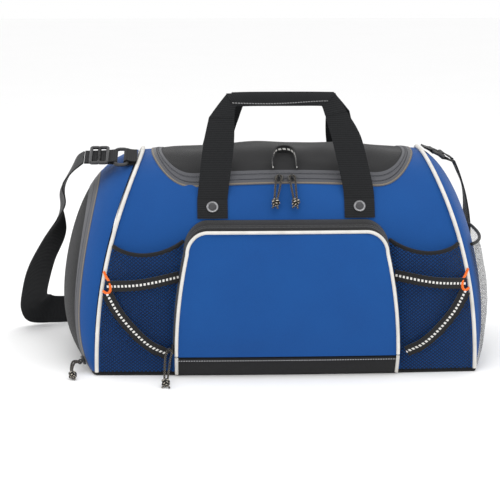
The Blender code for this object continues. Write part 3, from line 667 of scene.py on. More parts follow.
def zip_pull(name, eye, across, route, radius, body, node, tail):
    """Two strands from the eye along the route to a knot, and a tail of cord ends."""
    across, eye = Vector(across).normalized(), Vector(eye)
    route = [Vector(point) for point in route]
    first = (route[0] - eye).normalized()
    half = 0.0040
    knotted = knot(
        f"{name}_knot", np.array(route[-1]), radius, route[-1] - route[-2], knot_cord, body, ()
    )
    for way, hand in ((-1, "near"), (1, "far")):
        rows = [eye, eye + across * way * half * 0.8 + first * half * 0.35]
        for i, point in enumerate(route):
            width = half + (0.0015 - half) * (i + 1) / len(route)
            rows.append(point + across * way * width)
        rows[-1] = rows[-1] + (route[-1] - route[-2]).normalized() * 0.0005
        path = smooth_path([tuple(row) for row in rows], 22)
        nodes = (node,) if way < 0 else ()
        strand = tube(f"{name}_{hand}_strand", path, 0.0013, pull_cord, body, nodes, around=12)
    for k, end in enumerate(tail):
        path = smooth_path([tuple(route[-1]), tuple(route[-1].lerp(Vector(end), 0.6)), end], 8)
        tube(f"{name}_tail_{k}", path, 0.0012, knot_cord, body, (), around=10)


lid_y = -LID_DEPTH + 0.0049
for side, hand in ((-1, "left"), (1, "right")):
    x = side * 0.008
    rise = float(top_z(x, lid_y + 0.001) - top_z(x, lid_y - 0.001))
    slope = Vector((0, 0.002, rise)).normalized()
    out = Vector((0, -slope.z, slope.y))
    lid_foot = Vector((x, lid_y, float(top_z(x, lid_y))))
    eye = lid_foot + out * 0.0083
    end = Vector((side * 0.0125 - 0.001, -0.1085, 0.2160))
    tails = [(end.x - 0.004, -0.1095, 0.2085), (end.x + 0.003, -0.1090, 0.2078)]
    zip_pull(
        f"lid_pull_{hand}",
        eye,
        (1, 0, 0),
        [eye.lerp(end, 0.5) + out * 0.001, end],
        0.0050,
        f"lid_pull_{hand}",
        f"lid_pull_{hand}",
        tails,
    )


def pocket_side(z):
    """Half width of the front pocket's face at a height."""
    shoulder = POCKET_TOP - POCKET_CORNER
    rise = (np.minimum(z, shoulder) - POCKET_BOTTOM) / (POCKET_TOP - POCKET_BOTTOM)
    side = POCKET_SIDE - 0.020 * np.maximum(rise, 0.0) ** 2
    over = z - shoulder
    bend = np.sqrt(np.maximum(0.0, POCKET_CORNER**2 - over**2)) - POCKET_CORNER
    return side + np.where(over > 0, bend, 0.0)


def pocket_y(x, z, pillow=0.005):
    rise = (z - POCKET_BOTTOM) / (POCKET_TOP - POCKET_BOTTOM)
    across = np.maximum(0.0, 1 - (x / POCKET_SIDE) ** 2)
    puff = pillow * across * np.maximum(0.0, 4 * rise * (1 - rise))
    return front_y(x, z) - 0.016 - 0.005 * np.maximum(rise, 0.0) - puff


zip_z = 0.0365
zip_x = -(float(pocket_side(zip_z)) + 0.0046)
zip_y = float(pocket_y(zip_x, zip_z, 0.0)) + 0.0066
pocket_eye = (zip_x - 0.0062, zip_y - 0.0058, zip_z)
zip_pull(
    "front_pocket_pull",
    pocket_eye,
    (1, 0, 0),
    [
        (zip_x - 0.0085, zip_y - 0.016, 0.0270),
        (zip_x - 0.0100, zip_y - 0.031, 0.0125),
        (zip_x - 0.0110, zip_y - 0.0430, 0.0058),
    ],
    0.0050,
    "front_pocket_pull",
    "front_pocket_pull",
    [(zip_x - 0.0150, zip_y - 0.0500, 0.0016), (zip_x - 0.0060, zip_y - 0.0520, 0.0016)],
)

shoe_y, shoe_z = (float(c) for c in end_outline(0.862, 0.0225))
shoe_foot = Vector((float(end_x(-1, shoe_y, shoe_z)), shoe_y, shoe_z))
shoe_up = Vector((float(end_x(-1, shoe_y, shoe_z + 0.01)) - shoe_foot.x, 0, 0.01)).normalized()
shoe_out = Vector((-1, -0.55, -0.2))
shoe_out = (shoe_out - shoe_up * shoe_out.dot(shoe_up)).normalized()
shoe_eye = shoe_foot + shoe_out * 0.0077
shoe_across = shoe_out.cross(shoe_up)
shoe_across.z = 0
zip_pull(
    "shoe_pocket_pull",
    shoe_eye,
    shoe_across,
    [
        shoe_eye + Vector((-0.0075, -0.0065, 0.001)),
        shoe_eye + Vector((-0.0095, -0.0180, -0.0045)),
        (shoe_eye.x - 0.0075, shoe_eye.y - 0.0310, 0.0058),
    ],
    0.0050,
    "shoe_pocket_pull",
    "shoe_pocket_pull",
    [(shoe_eye.x - 0.0040, shoe_eye.y - 0.0380, 0.0016)],
)


# %% [markdown]
# ## Body panels
# The front and back are one barrel surface with the lid's outline left out.  The cut runs a
# few millimetres inside the zip tape, which hides it, as a seam allowance would.

# %% Barrel
def lid_reach(x, inset):
    over = np.maximum(0.0, np.abs(x) - LID_STRAIGHT) / (LID_END - inset)
    return (LID_DEPTH - inset) * np.maximum(0.0, 1 - over**LID_POWER) ** (1 / LID_POWER)


v = np.linspace(-1, 1, 190)[None]
for name, low, high, way in (
    ("front_panel", 0.0056, 0.4995, -1),
    ("back_panel", 0.5005, 0.9944, 1),
):
    t = np.linspace(low, high, 150)[:, None]
    points = body_points(v, t)
    middle = (points[1:, 1:] + points[:-1, :-1]) / 2
    keep = np.abs(middle[..., 1]) > lid_reach(middle[..., 0], 0.0055)
    keep |= middle[..., 2] < 0.2
    points = ripples(points, 0.0006, 3 if way < 0 else 4)
    cloth(
        name, points, blue_cloth, "bag", (name,), (0, way, 0.3), 0.0022, mask=keep
    )

# %% Seam piping
for name, side in (("left_piping", -1), ("right_piping", 1)):
    t = np.linspace(0.0056, 0.9944, 150)
    here, ahead = body_points(side, t), body_points(side, t + 0.001)
    along = ahead - here
    along /= np.linalg.norm(along, axis=1, keepdims=True)
    out = np.stack([0 * t, -along[:, 2], along[:, 1]], axis=1)
    out /= np.linalg.norm(out, axis=1, keepdims=True)
    out *= np.sign((out * (here - (0, 0, 0.08))).sum(axis=1) - out[:, 0] * here[:, 0])[:, None]
    path = here + out * 0.0022 + np.array([side * 0.0004, 0, 0])
    tube(name, path, 0.0025, cream_vinyl, "bag", (name,), hint=(1, 0, 0))


# %% [markdown]
# ## Left end: the shoe pocket
# The end is a dome in rings: a blue band, the zip tape, and a charcoal flap that the zip lets
# down.  The rings share one formula, so they meet at their edges.

# %% Rings and flap
BAND_SHARE, TAPE_SHARE, FLAP_SHARE, SILL_TOP = 0.90, 0.825, 0.82, 0.0275


def end_ring(name, side, outer, inner, material, proud, thickness, rows=14, node=None):
    u = np.linspace(0, 1, 130)[None]
    share = outer - (outer - inner) * np.linspace(0, 1, rows)[:, None] ** 1.4
    y, z = end_outline(share, 0.0056 + (1 - 2 * 0.0056) * u)
    points = np.stack([end_x(side, y, z, proud), y, z], axis=2)
    return cloth(name, points, material, "bag", (node,) if node else (), (side, 0, 0.4), thickness)


end_ring(
    "left_end_band", -1, 0.9985, BAND_SHARE, blue_cloth, 0.0002, 0.0022, node="left_end_band"
)
shoe_zip = zip_tape("shoe_zip", 0.0120, 0.0020)
end_ring(
    "shoe_pocket_zip_tape", -1, BAND_SHARE, TAPE_SHARE, shoe_zip, 0.0006, 0.0018,
    node="shoe_pocket_zip_tape",
)

t_low = (SILL_TOP + 0.0006) / (FLAP_SHARE * HEIGHT * 0.97 * pi)
u = np.linspace(0, 1, 150)[None]
y_rim, z_rim = end_outline(FLAP_SHARE, t_low + (1 - 2 * t_low) * u)
z_rim = np.maximum(z_rim, SILL_TOP + 0.0006)
v = np.linspace(0.0, 1, 70)[:, None] ** 0.8
y, z = y_rim * v, SILL_TOP + 0.0006 + (z_rim - SILL_TOP - 0.0006) * v
points = np.stack([end_x(-1, y, z), y, z], axis=2)
uv = np.stack(np.broadcast_arrays(y, z), axis=2)
cloth(
    "shoe_pocket_flap", points[1:], flap_cloth, "shoe_flap", ("shoe_pocket_flap",),
    (-1, 0, 0), 0.0022, uv=uv[1:],
)
z = 0.0038 + (SILL_TOP - 0.0038) * np.linspace(0, 1, 14)[:, None]
y = (2 * np.linspace(0, 1, 90)[None] - 1) * FLAP_SHARE * end_half_depth(z / FLAP_SHARE)
points = np.stack([end_x(-1, y, z), y, z + 0 * y], axis=2)
cloth(
    "shoe_pocket_sill", points, flap_cloth, "bag", ("shoe_pocket_sill",), (-1, 0, 0), 0.0022
)

# %% Divider and base board inside
t = np.linspace(0.005, 0.995, 60)[None]
y, z = section(t)
shrink = np.linspace(0.02, 1, 24)[:, None]
y = y * 0.965 * shrink
z = np.maximum(0.0036, 0.0036 + (z * 0.97 - 0.0045 - 0.0036) * shrink)
points = np.stack([np.full_like(y, -0.1769), y, z], axis=2)
cloth(
    "shoe_pocket_divider", points, lining_cloth, "bag", ("shoe_pocket_divider",), (1, 0, 0),
    0.0014,
)
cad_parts["base_board"].data.materials.clear()
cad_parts["base_board"].data.materials.append(board_plastic)

# %% [markdown]
# ## Right end and its mesh pocket

# %% Right end
u = np.linspace(0, 1, 130)[None]
share = 0.9985 * (1 - (1 - np.linspace(0.03, 1, 46)[:, None]) ** 2.2)
y, z = end_outline(share[::-1], 0.0056 + (1 - 2 * 0.0056) * u)
z = np.maximum(z, 0.0036)
points = np.stack([end_x(1, y, z), y, z], axis=2)
uv = np.stack([y, z], axis=2)
cloth(
    "right_end_panel", points, blue_cloth, "bag", ("right_end_panel",), (1, 0, 0.2), 0.0018, uv=uv
)

z = 0.0038 + (0.158 - 0.0038) * np.linspace(0, 1, 60)[:, None]
q = 0.95 * (2 * np.linspace(0, 1, 80)[None] - 1)
y = q * end_half_depth(z)
v = np.linspace(0, 1, 60)[:, None]
stand = 0.0008 + 0.009 * (1 - np.abs(q) ** 3) * np.minimum(1.0, 0.25 + 1.5 * v)
points = np.stack([end_x(1, y, z, stand + 0.0010), y, z + 0 * y], axis=2)
points = ripples(points, 0.0006, 6)
cloth(
    "end_mesh_pocket", points, black_net, "bag", ("end_mesh_pocket",), (1, 0, 0), None
)
q = np.linspace(-0.95, 0.95, 70)
y = q * end_half_depth(0.1605)
stand = 0.0045 + 0.0075 * (1 - np.abs(q) ** 3)
path = np.stack([end_x(1, y, 0.1605, stand), y, 0.1605 + 0 * q], 1)
tube("end_pocket_binding", path, 0.0021, binding_tape, "bag", ("end_pocket_binding",))


# %% [markdown]
# ## Base
# A flat black panel, edged all round with a thin binding where it meets the sides.

# %% Base panel and edging
a = np.linspace(-1, 1, 90)[None]
b = np.linspace(-1, 1, 50)[:, None]
side = np.where(a < 0, -1, 1)
swell = np.abs(end_x(side, b * HALF_DEPTH, 0.0 * b)) - 0.238
points = np.stack(
    np.broadcast_arrays(
        a * 0.238 + side * swell * np.abs(a) ** 8, b * HALF_DEPTH * (1 + 0.04 * (1 - a * a)), 0 * a
    ),
    axis=2,
)
cloth("base_panel", points, black_cloth, "bag", ("base_panel",), (0, 0, -1), 0.0028)
rim = np.vstack([points[0], points[1:, -1], points[-1, -2::-1], points[-2:0:-1, 0]])
rim = rim * (0.998, 0.998, 0) + (0, 0, 0.0025)
tube("base_edging", rim, 0.0021, binding_tape, "bag", closed=True, hint=(0, 0, 1))


# %% [markdown]
# ## Lid and main zip
# The lid is the top of the barrel between the zip tapes.  Each tape is a narrow ring that
# follows the lid's outline: one on the body and one on the lid, with the coils between them.

# %% Lid
def lid_rim(inset, s):
    """Round the lid from its left rear corner, along the front, to its right rear corner."""

    def rounded(value):
        return np.abs(value) ** (2 / LID_POWER) * np.sign(value)

    a, b = LID_END - inset, LID_DEPTH - inset
    start = radians(95)
    left = start + (radians(270) - start) * s / 0.4
    right = radians(-90) + (radians(180) - start + radians(90)) * (s - 0.6) / 0.4
    straight = LID_STRAIGHT * (s - 0.5) / 0.1
    x = np.where(s < 0.4, -LID_STRAIGHT + a * rounded(np.cos(left)), straight)
    x = np.where(s > 0.6, LID_STRAIGHT + a * rounded(np.cos(right)), x)
    y = np.where(s < 0.4, b * rounded(np.sin(left)), -b)
    return x, np.where(s > 0.6, b * rounded(np.sin(right)), y)


s = np.linspace(0, 1, 260)[None]
fixed_zip = zip_tape("fixed_zip", 0.0072, 0.0018)
moving_zip = zip_tape("moving_zip", 0.0012)
for name, outer, inner, finish, body in (
    ("lid_opening_tape", GAP, FIXED_TAPE, fixed_zip, "bag"),
    ("lid_tape", FIXED_TAPE + 0.0002, LID_TAPE + 0.0006, moving_zip, "lid"),
):
    x, y = lid_rim(np.linspace(outer, inner, 8)[:, None], s)
    dip = np.linspace(1, 0, 8) if body == "bag" else np.linspace(0, 1, 8)
    points = np.stack([x, y, top_z(x, y) + 0.0014 - 0.0005 * dip[:, None]], axis=2)
    cloth(name, points, finish, body, (name,), (0, 0, 1), 0.0016)

inset = LID_TAPE + 0.0008
x = (LID_STRAIGHT + LID_END - inset) * np.sin((np.linspace(0, 1, 170)[None] - 0.5) * pi * 0.999)
reach = lid_reach(x, inset)
rear = reach + (LID_TAPE - 0.0009) * np.clip((0.104 - np.abs(x)) / 0.006, 0, 1)
y = -reach + (reach + rear) * np.linspace(0, 1, 110)[:, None]
points = ripples(np.stack([x + 0 * y, y, top_z(x, y)], axis=2), 0.0011, 12)
uv = points[..., :2].copy()
cloth("lid_panel", points, charcoal_cloth, "lid", ("lid_panel",), (0, 0, 1), 0.0022, uv=uv)

arch = [(-0.0150, -0.0740), (-0.0150, -0.0640), (-0.0135, -0.0550), (-0.0085, -0.0480)]
arch.append((0, -0.0455))
arch += [(-x, y) for x, y in arch[-2::-1]]
rows = []
for x, y in arch:
    lean = float(top_z(x, y - 0.001) - top_z(x, y + 0.001))
    up = Vector((0, lean, 0.002)).normalized()
    foot = Vector((x, y, float(top_z(x, y)))) + up * 0.0062
    rows.append((*foot, *(up * 0.0053)))
ribbon("lid_pull_loop", rows, 60, 0.0015, loop_ribbon, "lid", "lid_pull_loop")


# %% [markdown]
# ## Front pocket
# The pocket stands 16 mm proud of the body on a black gusset that carries its zip.  Its face is
# one pillowed panel edged with piping, and a black band with a light stitch runs below it.

# %% Pocket outline
def pocket_rim(s, side_grow, top_grow):
    """Round the pocket's face from its left foot over the top to its right foot."""
    foot, corner = 0.42, 0.72
    share = 1 - np.abs(2 * s - 1)
    sign = np.where(s < 0.5, -1, 1)
    shoulder = POCKET_TOP - POCKET_CORNER
    z_leg = POCKET_BOTTOM + 0.001 + (shoulder - POCKET_BOTTOM - 0.001) * share / foot
    middle = pocket_side(shoulder) - POCKET_CORNER
    turn = np.clip((share - foot) / (corner - foot), 0.0, 1.0) * pi / 2
    x = middle + (POCKET_CORNER + side_grow) * np.cos(turn)
    x = np.where(share > corner, middle * (1 - share) / (1 - corner), x)
    z = shoulder + (POCKET_CORNER + top_grow) * np.sin(turn)
    leg = share < foot
    return sign * np.where(leg, pocket_side(z_leg) + side_grow, x), np.where(leg, z_leg, z)


# %% Pocket face, piping, gusset and band
z = POCKET_BOTTOM + 0.0008 + (POCKET_TOP - POCKET_BOTTOM - 0.0008) * np.sin(
    np.linspace(0, 1, 120)[:, None] * pi / 2
)
x = (2 * np.linspace(0, 1, 140)[None] - 1) * pocket_side(z)
points = np.stack([x, pocket_y(x, z), z + 0 * x], axis=2)
points = ripples(points, 0.0009, 21, 0.05, 0.16)
cloth(
    "front_pocket_panel", points, blue_cloth, "front_pocket", ("front_pocket_panel",),
    uv=points[..., ::2].copy(), thickness=0.0020,
)

s = np.linspace(0.002, 0.998, 300)
x, z = pocket_rim(s, 0.0023, 0.0023)
path = np.stack([x, pocket_y(x, np.minimum(z, POCKET_TOP), 0.0) - 0.0005, z], axis=1)
tube(
    "front_pocket_piping", path, 0.0022, cream_vinyl, "front_pocket", ("front_pocket_piping",),
    hint=(0, 1, 0),
)


def gusset_cloth():
    """Black cloth with two parallel zip lines along the gusset."""
    finish = Finish("gusset_cloth", roughness=0.6, sheen_weight=0.2, sheen_roughness=0.5)
    ribs = finish.across.wave(0.0018) * 0.6 + finish.along.wave(0.0013) * 0.4
    shade = finish.mix((0.003, 0.003, 0.004), (0.014, 0.014, 0.015), ribs)
    coil = finish.across.near(0.0075, 0.0011).greater(finish.across.near(0.0105, 0.0008))
    teeth = finish.along.wave(0.0016)
    metal = finish.mix((0.010, 0.010, 0.010), (0.055, 0.055, 0.058), teeth)
    shade = finish.mix(shade, metal, coil)
    finish.colour(shade)
    finish.relief(ribs * 0.4 + coil * teeth, 0.0006, 0.9)
    return finish.material


u = np.linspace(0, 1, 300)[None]
v = np.linspace(0, 1, 14)[:, None]
x, z = pocket_rim(u + 0 * v, 0.0025 + 0.0045 * v, 0.0025 + 0.0115 * v)
near = pocket_y(x, np.minimum(z, POCKET_TOP), 0.0) + 0.0022
bulge = 0.0016 * np.sin(pi * v)
points = np.stack([x, near + (front_y(x, z) - 0.0016 - near) * v, z + bulge], axis=2)
cloth(
    "front_pocket_gusset", points, gusset_cloth(), "bag", ("front_pocket_gusset",), (0, -0.2, 1),
    0.0014,
)


def band_cloth():
    finish = Finish("band_cloth", roughness=0.65, sheen_weight=0.2, sheen_roughness=0.5)
    ribs = finish.across.wave(0.0016) * 0.5 + finish.along.wave(0.0016) * 0.5
    seam = stitches(finish, 0.0240, 0.0032, 0.7, 0.0006)
    shade = finish.mix((0.003, 0.003, 0.004), (0.012, 0.012, 0.013), ribs)
    finish.colour(finish.mix(shade, (0.36, 0.36, 0.37), seam))
    finish.relief(ribs * 0.5 + seam, 0.0005, 0.8)
    return finish.material


turn = np.linspace(0, 1, 30)[:, None]
x = (2 * np.linspace(0, 1, 120)[None] - 1) * (POCKET_SIDE + 0.0035)
z = 0.0005 + 0.0258 * turn
back = 0.0132 * np.clip((turn - 0.95) / 0.05, 0, 1) ** 2 + 0.0125 * (1 - turn)
belly = 0.0012 * np.sin(pi * turn)
face = pocket_y(np.clip(x, -POCKET_SIDE, POCKET_SIDE), POCKET_BOTTOM, 0.0)
points = np.stack([x + 0 * z, face + 0.0008 - belly + back, z + 0 * x], axis=2)
cloth(
    "front_pocket_band", points, band_cloth(), "bag", ("front_pocket_band",), thickness=0.0030
)
for side, hand in ((-1, "left"), (1, "right")):
    edge = POCKET_SIDE + 0.0023
    top = (side * edge, float(pocket_y(POCKET_SIDE, POCKET_BOTTOM, 0.0)) - 0.0005, POCKET_BOTTOM)
    foot = smooth_path([top, (side * edge, top[1] + 0.0055, 0.0150),
                        (side * edge, top[1] + 0.0125, 0.0024)], 20)
    tube(f"pocket_piping_foot_{hand}", foot, 0.0022, cream_vinyl, "bag", hint=(1, 0, 0))


# %% [markdown]
# ## Side pockets
# Net pockets gape at the top between the seam and the front pocket.  A ribbon with a broken
# light stitch runs along each mouth and another slants down, and an orange cord loop sits at
# each seam.

# %% Mesh pockets
def mesh_inner(z):
    return pocket_side(np.minimum(z, POCKET_TOP - POCKET_CORNER)) + 0.007 + 0.0005


def mesh_y(x, z):
    outer, inner = seam_half(z) - 0.0035, mesh_inner(z)
    u = np.clip((outer - np.abs(x)) / (outer - inner), 0, 1)
    belly = (4 * u * (1 - u)) ** 0.6
    return front_y(x, z) - 0.0018 - 0.0125 * belly * np.clip(z / 0.15, 0, 1) ** 0.7


for name, side in (("left", -1), ("right", 1)):
    u = np.linspace(0, 1, 80)[None]
    top = 0.160 - 0.045 * u * (1 - u) + 0.006 * u
    z = 0.0038 + (top - 0.0038) * np.linspace(0, 1, 100)[:, None]
    x = side * (seam_half(z) - 0.0035 + (mesh_inner(z) - seam_half(z) + 0.0035) * u)
    points = ripples(np.stack([x, mesh_y(x, z), z], axis=2), 0.0006, 30 + side)
    cloth(
        f"{name}_mesh_pocket", points, black_net, "bag", (f"{name}_mesh_pocket",),
        uv=np.stack([x, z], axis=2), thickness=None,
    )

    u = np.linspace(0.0, 1.0, 60)
    z = 0.160 - 0.045 * u * (1 - u) + 0.006 * u + 0.0026
    x = side * (seam_half(z) - 0.0035 + (mesh_inner(z) - seam_half(z) + 0.0035) * u)
    y = np.minimum(mesh_y(x, z), front_y(x, z) - 0.0023)
    tube(
        f"{name}_pocket_binding", np.stack([x, y, z], axis=1), 0.0026, binding_tape, "bag",
        (f"{name}_pocket_binding",), hint=(0, 1, 0),
    )

    upper = [(0.2235, 0.1150), (0.190, 0.1178), (0.165, 0.1215), (0.1340, 0.1265)]
    lower = [(0.2235, 0.1060), (0.2090, 0.0815), (0.1890, 0.0572), (0.1706, 0.0403)]
    lower.append((0.1500, 0.0295))
    for level, line in (("upper", upper), ("lower", lower)):
        rows = []
        for i, (x, z) in enumerate(line):
            x0, z0 = line[max(i - 1, 0)]
            x1, z1 = line[min(i + 1, len(line) - 1)]
            lean = Vector((-(z1 - z0), 0, x1 - x0)).normalized() * 0.0068
            rows.append((side * x, float(mesh_y(x, z)) - 0.0044, z, side * lean.x, 0, lean.z))
        elastic = f"{name}_{level}_elastic"
        ribbon(elastic, rows, 70, 0.0013, elastic_ribbon, "bag", elastic)

    bend = [(0.2275, 0.1330), (0.2245, 0.1260), (0.2198, 0.1185), (0.2196, 0.1100)]
    bend += [(0.2235, 0.1065), (0.2285, 0.1085)]
    rows = [
        (side * x, float(np.minimum(front_y(x, z), mesh_y(x, z))) - 0.0034, z) for x, z in bend
    ]
    tube(
        f"{name}_cord_loop", smooth_path(rows, 48), 0.0017, orange_cord, "bag",
        (f"{name}_cord_loop",), hint=(0, 1, 0),
    )


# %% [markdown]
# ## Handles
# Each handle is one length of 38 mm webbing.  It lies flat on the legs, folds across the corner
# and is doubled over along the grip.  It is laid out flat first, then leaned in over the lid,
# the back handle further than the front one.

# %% Handle layout
HANDLE_X, PIVOT_Z, ROOT = 0.092, 0.2175, 0.0135
LEAN = {-1: radians(12), 1: radians(21)}
SHORTEN = {-1: 0.91, 1: 0.86}


def handle_frame(way):
    """Origin at the leg's foot, first axis along the grip, second up the leg."""
    foot_y = -float(front_y(HANDLE_X, PIVOT_Z)) + GAP + 0.0008
    return (
        np.array([0, way * foot_y, PIVOT_Z]),
        np.array([-way, 0, 0]),
        np.array([0, -way * sin(LEAN[way]), cos(LEAN[way])]),
    )


def handle_cloth(name, outer, inner, count, way, lift, material, body, nodes=(), bow=0.0):
    """A ribbon between two edges drawn flat, in metres along the grip and up the leg."""
    origin, across, up = handle_frame(way)
    out = np.cross(across, up)
    out = out if out[1] * way > 0 else -out
    edges = [smooth_path([(*p, 0.0) for p in edge], count)[:, :2] for edge in (outer, inner)]
    v = np.linspace(0, 1, 13)[:, None, None]
    flat = edges[0][None] * (1 - v) + edges[1][None] * v
    fold, height = 0.0 if way < 0 else ROOT, flat[..., 1]
    flat[..., 1] = np.minimum(height, fold) + np.maximum(height - fold, 0.0) * SHORTEN[way]
    crown = lift + bow * (1 - (2 * v[..., 0] - 1) ** 2)
    points = origin + flat[..., :1] * across + flat[..., 1:] * up + crown[..., None] * out
    cloth(name, points, material, body, nodes, tuple(out), 0.0016, sharp=50)


for way, where in ((-1, "front"), (1, "back")):
    low = 0.0004 if way < 0 else ROOT
    left_out = [(-0.111, low), (-0.109, 0.020), (-0.103, 0.075), (-0.0955, 0.114)]
    left_in = [(-0.073, low), (-0.071, 0.020), (-0.0645, 0.075), (-0.0635, 0.1200)]
    right_out = [(0.111, low), (0.109, 0.020), (0.098, 0.075), (0.090, 0.098), (0.0765, 0.122)]
    right_in = [(0.073, low), (0.071, 0.020), (0.059, 0.080), (0.053, 0.104), (0.0470, 0.1290)]
    body = f"{where}_handle"
    grip_top = [(-0.0735, 0.1462), (-0.040, 0.1469), (0.000, 0.1470), (0.040, 0.1469),
                (0.0635, 0.1462)]
    grip_low = [(-0.0640, 0.1290), (-0.040, 0.1297), (0.000, 0.1297), (0.040, 0.1297),
                (0.0480, 0.1290)]
    left_corner = [(-0.0955, 0.1135), (-0.0845, 0.1300), (-0.0725, 0.1466)]
    left_bend = [(-0.0635, 0.1130), (-0.0632, 0.1220), (-0.0610, 0.1310)]
    right_corner = [(0.0770, 0.1215), (0.0705, 0.1340), (0.0625, 0.1466)]
    right_bend = [(0.0500, 0.1150), (0.0475, 0.1240), (0.0450, 0.1310)]
    for part, outer, inner, count, lift, finish, bow in (
        ("left_leg", left_out, left_in, 90, 0.0006, black_webbing, 0.0010),
        ("right_leg", right_out, right_in, 90, 0.0006, black_webbing, 0.0010),
        ("grip", grip_top, grip_low, 110, 0.0016, grip_webbing, 0.0022),
        ("grip_rear", grip_top, grip_low, 110, -0.0018, grip_webbing, -0.0016),
        ("left_fold", left_corner, left_bend, 40, 0.0014, black_webbing, 0.0012),
        ("right_fold", right_corner, right_bend, 40, 0.0014, black_webbing, 0.0012),
    ):
        nodes = (body,) if part == "left_leg" else ()
        handle_cloth(f"{body}_{part}", outer, inner, count, way, lift, finish, body, nodes, bow)
    if way > 0:
        for side, hand in ((-1, "left"), (1, "right")):
            outer, inner = ([(-side * x, 0.0004), (-side * x, ROOT)] for x in (0.111, 0.073))
            root = f"back_handle_root_{hand}"
            handle_cloth(root, outer, inner, 10, 1, 0.0006, black_webbing, "back_handle_root",
                         (root,), 0.0010)

    for side, hand in ((-1, "left"), (1, "right")):
        bottom = 0.1960 if way < 0 else 0.0038
        z = np.linspace(bottom, PIVOT_Z + 0.0010, 20 if way < 0 else 130)[None]
        x = side * HANDLE_X + 0.019 * np.linspace(-1, 1, 15)[:, None]
        crown = 0.0008 * (1 - np.linspace(-1, 1, 15)[:, None] ** 2)
        points = np.stack(
            np.broadcast_arrays(x, way * (-front_y(x, z) + 0.0024 + crown), z), axis=2
        )
        anchor = f"{where}_handle_anchor_{hand}"
        cloth(anchor, points, black_webbing, "bag", (anchor,), (0, way, 0.2), 0.0016)


# %% Rivets
def turned(name, profile, place, out, material, body, nodes=()):
    """A profile of radius and height turned about an axis."""
    profile = np.array(profile, float)
    angle = np.linspace(0, 2 * pi, 41)[None]
    r, h = profile[:, :1], profile[:, 1:]
    points = np.stack([r * np.cos(angle), r * np.sin(angle), h + 0 * angle], axis=2)
    turn = np.array(Vector(out).to_track_quat("Z", "Y").to_matrix())
    points = np.asarray(place, float) + points @ turn.T
    mesh = grid_mesh(name, points, walked(points), ring=True, caps=True)
    face_out(mesh)
    piece(name, mesh, material, body, nodes, sharp=35)


RIVET_Z = 0.2085
for way, where in ((-1, "front"), (1, "back")):
    for side, hand in ((-1, "left"), (1, "right")):
        x = side * HANDLE_X
        y = -float(front_y(x, RIVET_Z))
        rise = float(-front_y(x, RIVET_Z + 0.001) + front_y(x, RIVET_Z - 0.001)) / 0.002
        out = Vector((0, way, -rise)).normalized()
        foot = Vector((x, way * y, RIVET_Z)) + out * 0.0026
        rim = [(0.0040, 0.0), (0.0070, 0.0), (0.0074, 0.0006), (0.0073, 0.0014), (0.0066, 0.0020),
               (0.0058, 0.0020), (0.0052, 0.0016), (0.0048, 0.0010), (0.0040, 0.0008)]
        rivet = f"{where}_rivet_{hand}"
        turned(rivet, rim, foot, out, nickel, "bag", (rivet,))
        cap = [(0.0002, 0.0004), (0.0048, 0.0004), (0.0046, 0.0012), (0.0036, 0.0017),
               (0.0020, 0.0019), (0.0002, 0.0020)]
        turned(f"{rivet}_cap", cap, foot, out, dark_well, "bag")


# %% [markdown]
# ## Zip sliders
# A slider is a flat shoe with rounded flanks and a bridge over it, and the pull's cord passes
# through the bridge.  The shoe is a rounded box formula, and the bridge a short bent bar.

# %% Sliders
def rounded_box(name, size, place, x_axis, z_axis, body, node):
    """A superquadric: each direction's radius is one over its fourth-power norm."""
    a = np.linspace(0, 2 * pi, 49)[None]
    b = np.linspace(0.02, pi - 0.02, 25)[:, None]
    way = np.stack([np.sin(b) * np.cos(a), np.sin(b) * np.sin(a), np.cos(b) + 0 * a], axis=2)
    radius = (way**4).sum(axis=2, keepdims=True) ** -0.25
    points = way * radius * np.array(size) / 2
    x_axis, z_axis = Vector(x_axis).normalized(), Vector(z_axis)
    z_axis = (z_axis - x_axis * z_axis.dot(x_axis)).normalized()
    turn = np.array([x_axis, z_axis.cross(x_axis), z_axis])
    points = np.asarray(place, float) + points @ turn
    mesh = grid_mesh(name, points, walked(points), ring=True, caps=True)
    face_out(mesh)
    piece(name, mesh, black_plastic, body, (node,), sharp=60)


def zip_slider(name, foot, travel, out, eye, spread, stand):
    travel, out, foot, eye = (Vector(v) for v in (travel, out, foot, eye))
    travel.normalize()
    out = (out - travel * out.dot(travel)).normalized()
    centre = foot + out * (stand + 0.0016)
    rounded_box(f"{name}_shoe", (0.0120, 0.0070, 0.0026), centre, travel, out, name, name)
    spread = Vector(spread).normalized()
    reach = (eye - foot).length
    rise = (eye - foot).normalized()
    side = spread.cross(rise).normalized()
    ring = [
        eye + rise * cos(a) * 0.0026 + side * sin(a) * 0.0026
        for a in np.linspace(0, 2 * pi, 25)[:-1]
    ]
    tube(f"{name}_eye", ring, 0.0009, black_plastic, name, closed=True,
         hint=tuple(spread), around=10)
    rows = [foot + rise * stand, foot + rise * (reach - 0.0022)]
    tube(f"{name}_neck", smooth_path([tuple(p) for p in rows], 8),
         np.linspace(0.0022, 0.0014, 8), black_plastic, name, hint=(1, 0.2, 0.1))


for side, hand in ((-1, "left"), (1, "right")):
    foot = Vector((side * 0.008, lid_foot.y, lid_foot.z))
    rise = float(top_z(side * 0.008, lid_y + 0.001) - top_z(side * 0.008, lid_y - 0.001))
    slope = Vector((0, 0.002, rise)).normalized()
    out = Vector((0, -slope.z, slope.y))
    zip_slider(f"lid_slider_{hand}", foot, (1, 0, 0), out, foot + out * 0.0083, (1, 0, 0), 0.0013)
zip_slider("front_pocket_slider", (zip_x, zip_y, zip_z), (0.06, 0, 1), (-1, -0.25, 0.06),
           pocket_eye, (1, 0, 0), 0.0012)
zip_slider("shoe_pocket_slider", shoe_foot, shoe_up, shoe_out, shoe_eye, shoe_across, 0.0014)


# %% [markdown]
# ## Shoulder strap
# A short tab at each seam holds a plastic ring, the strap's sewn ends loop through the rings,
# and the left end is threaded through an adjuster before it drops behind the bag.

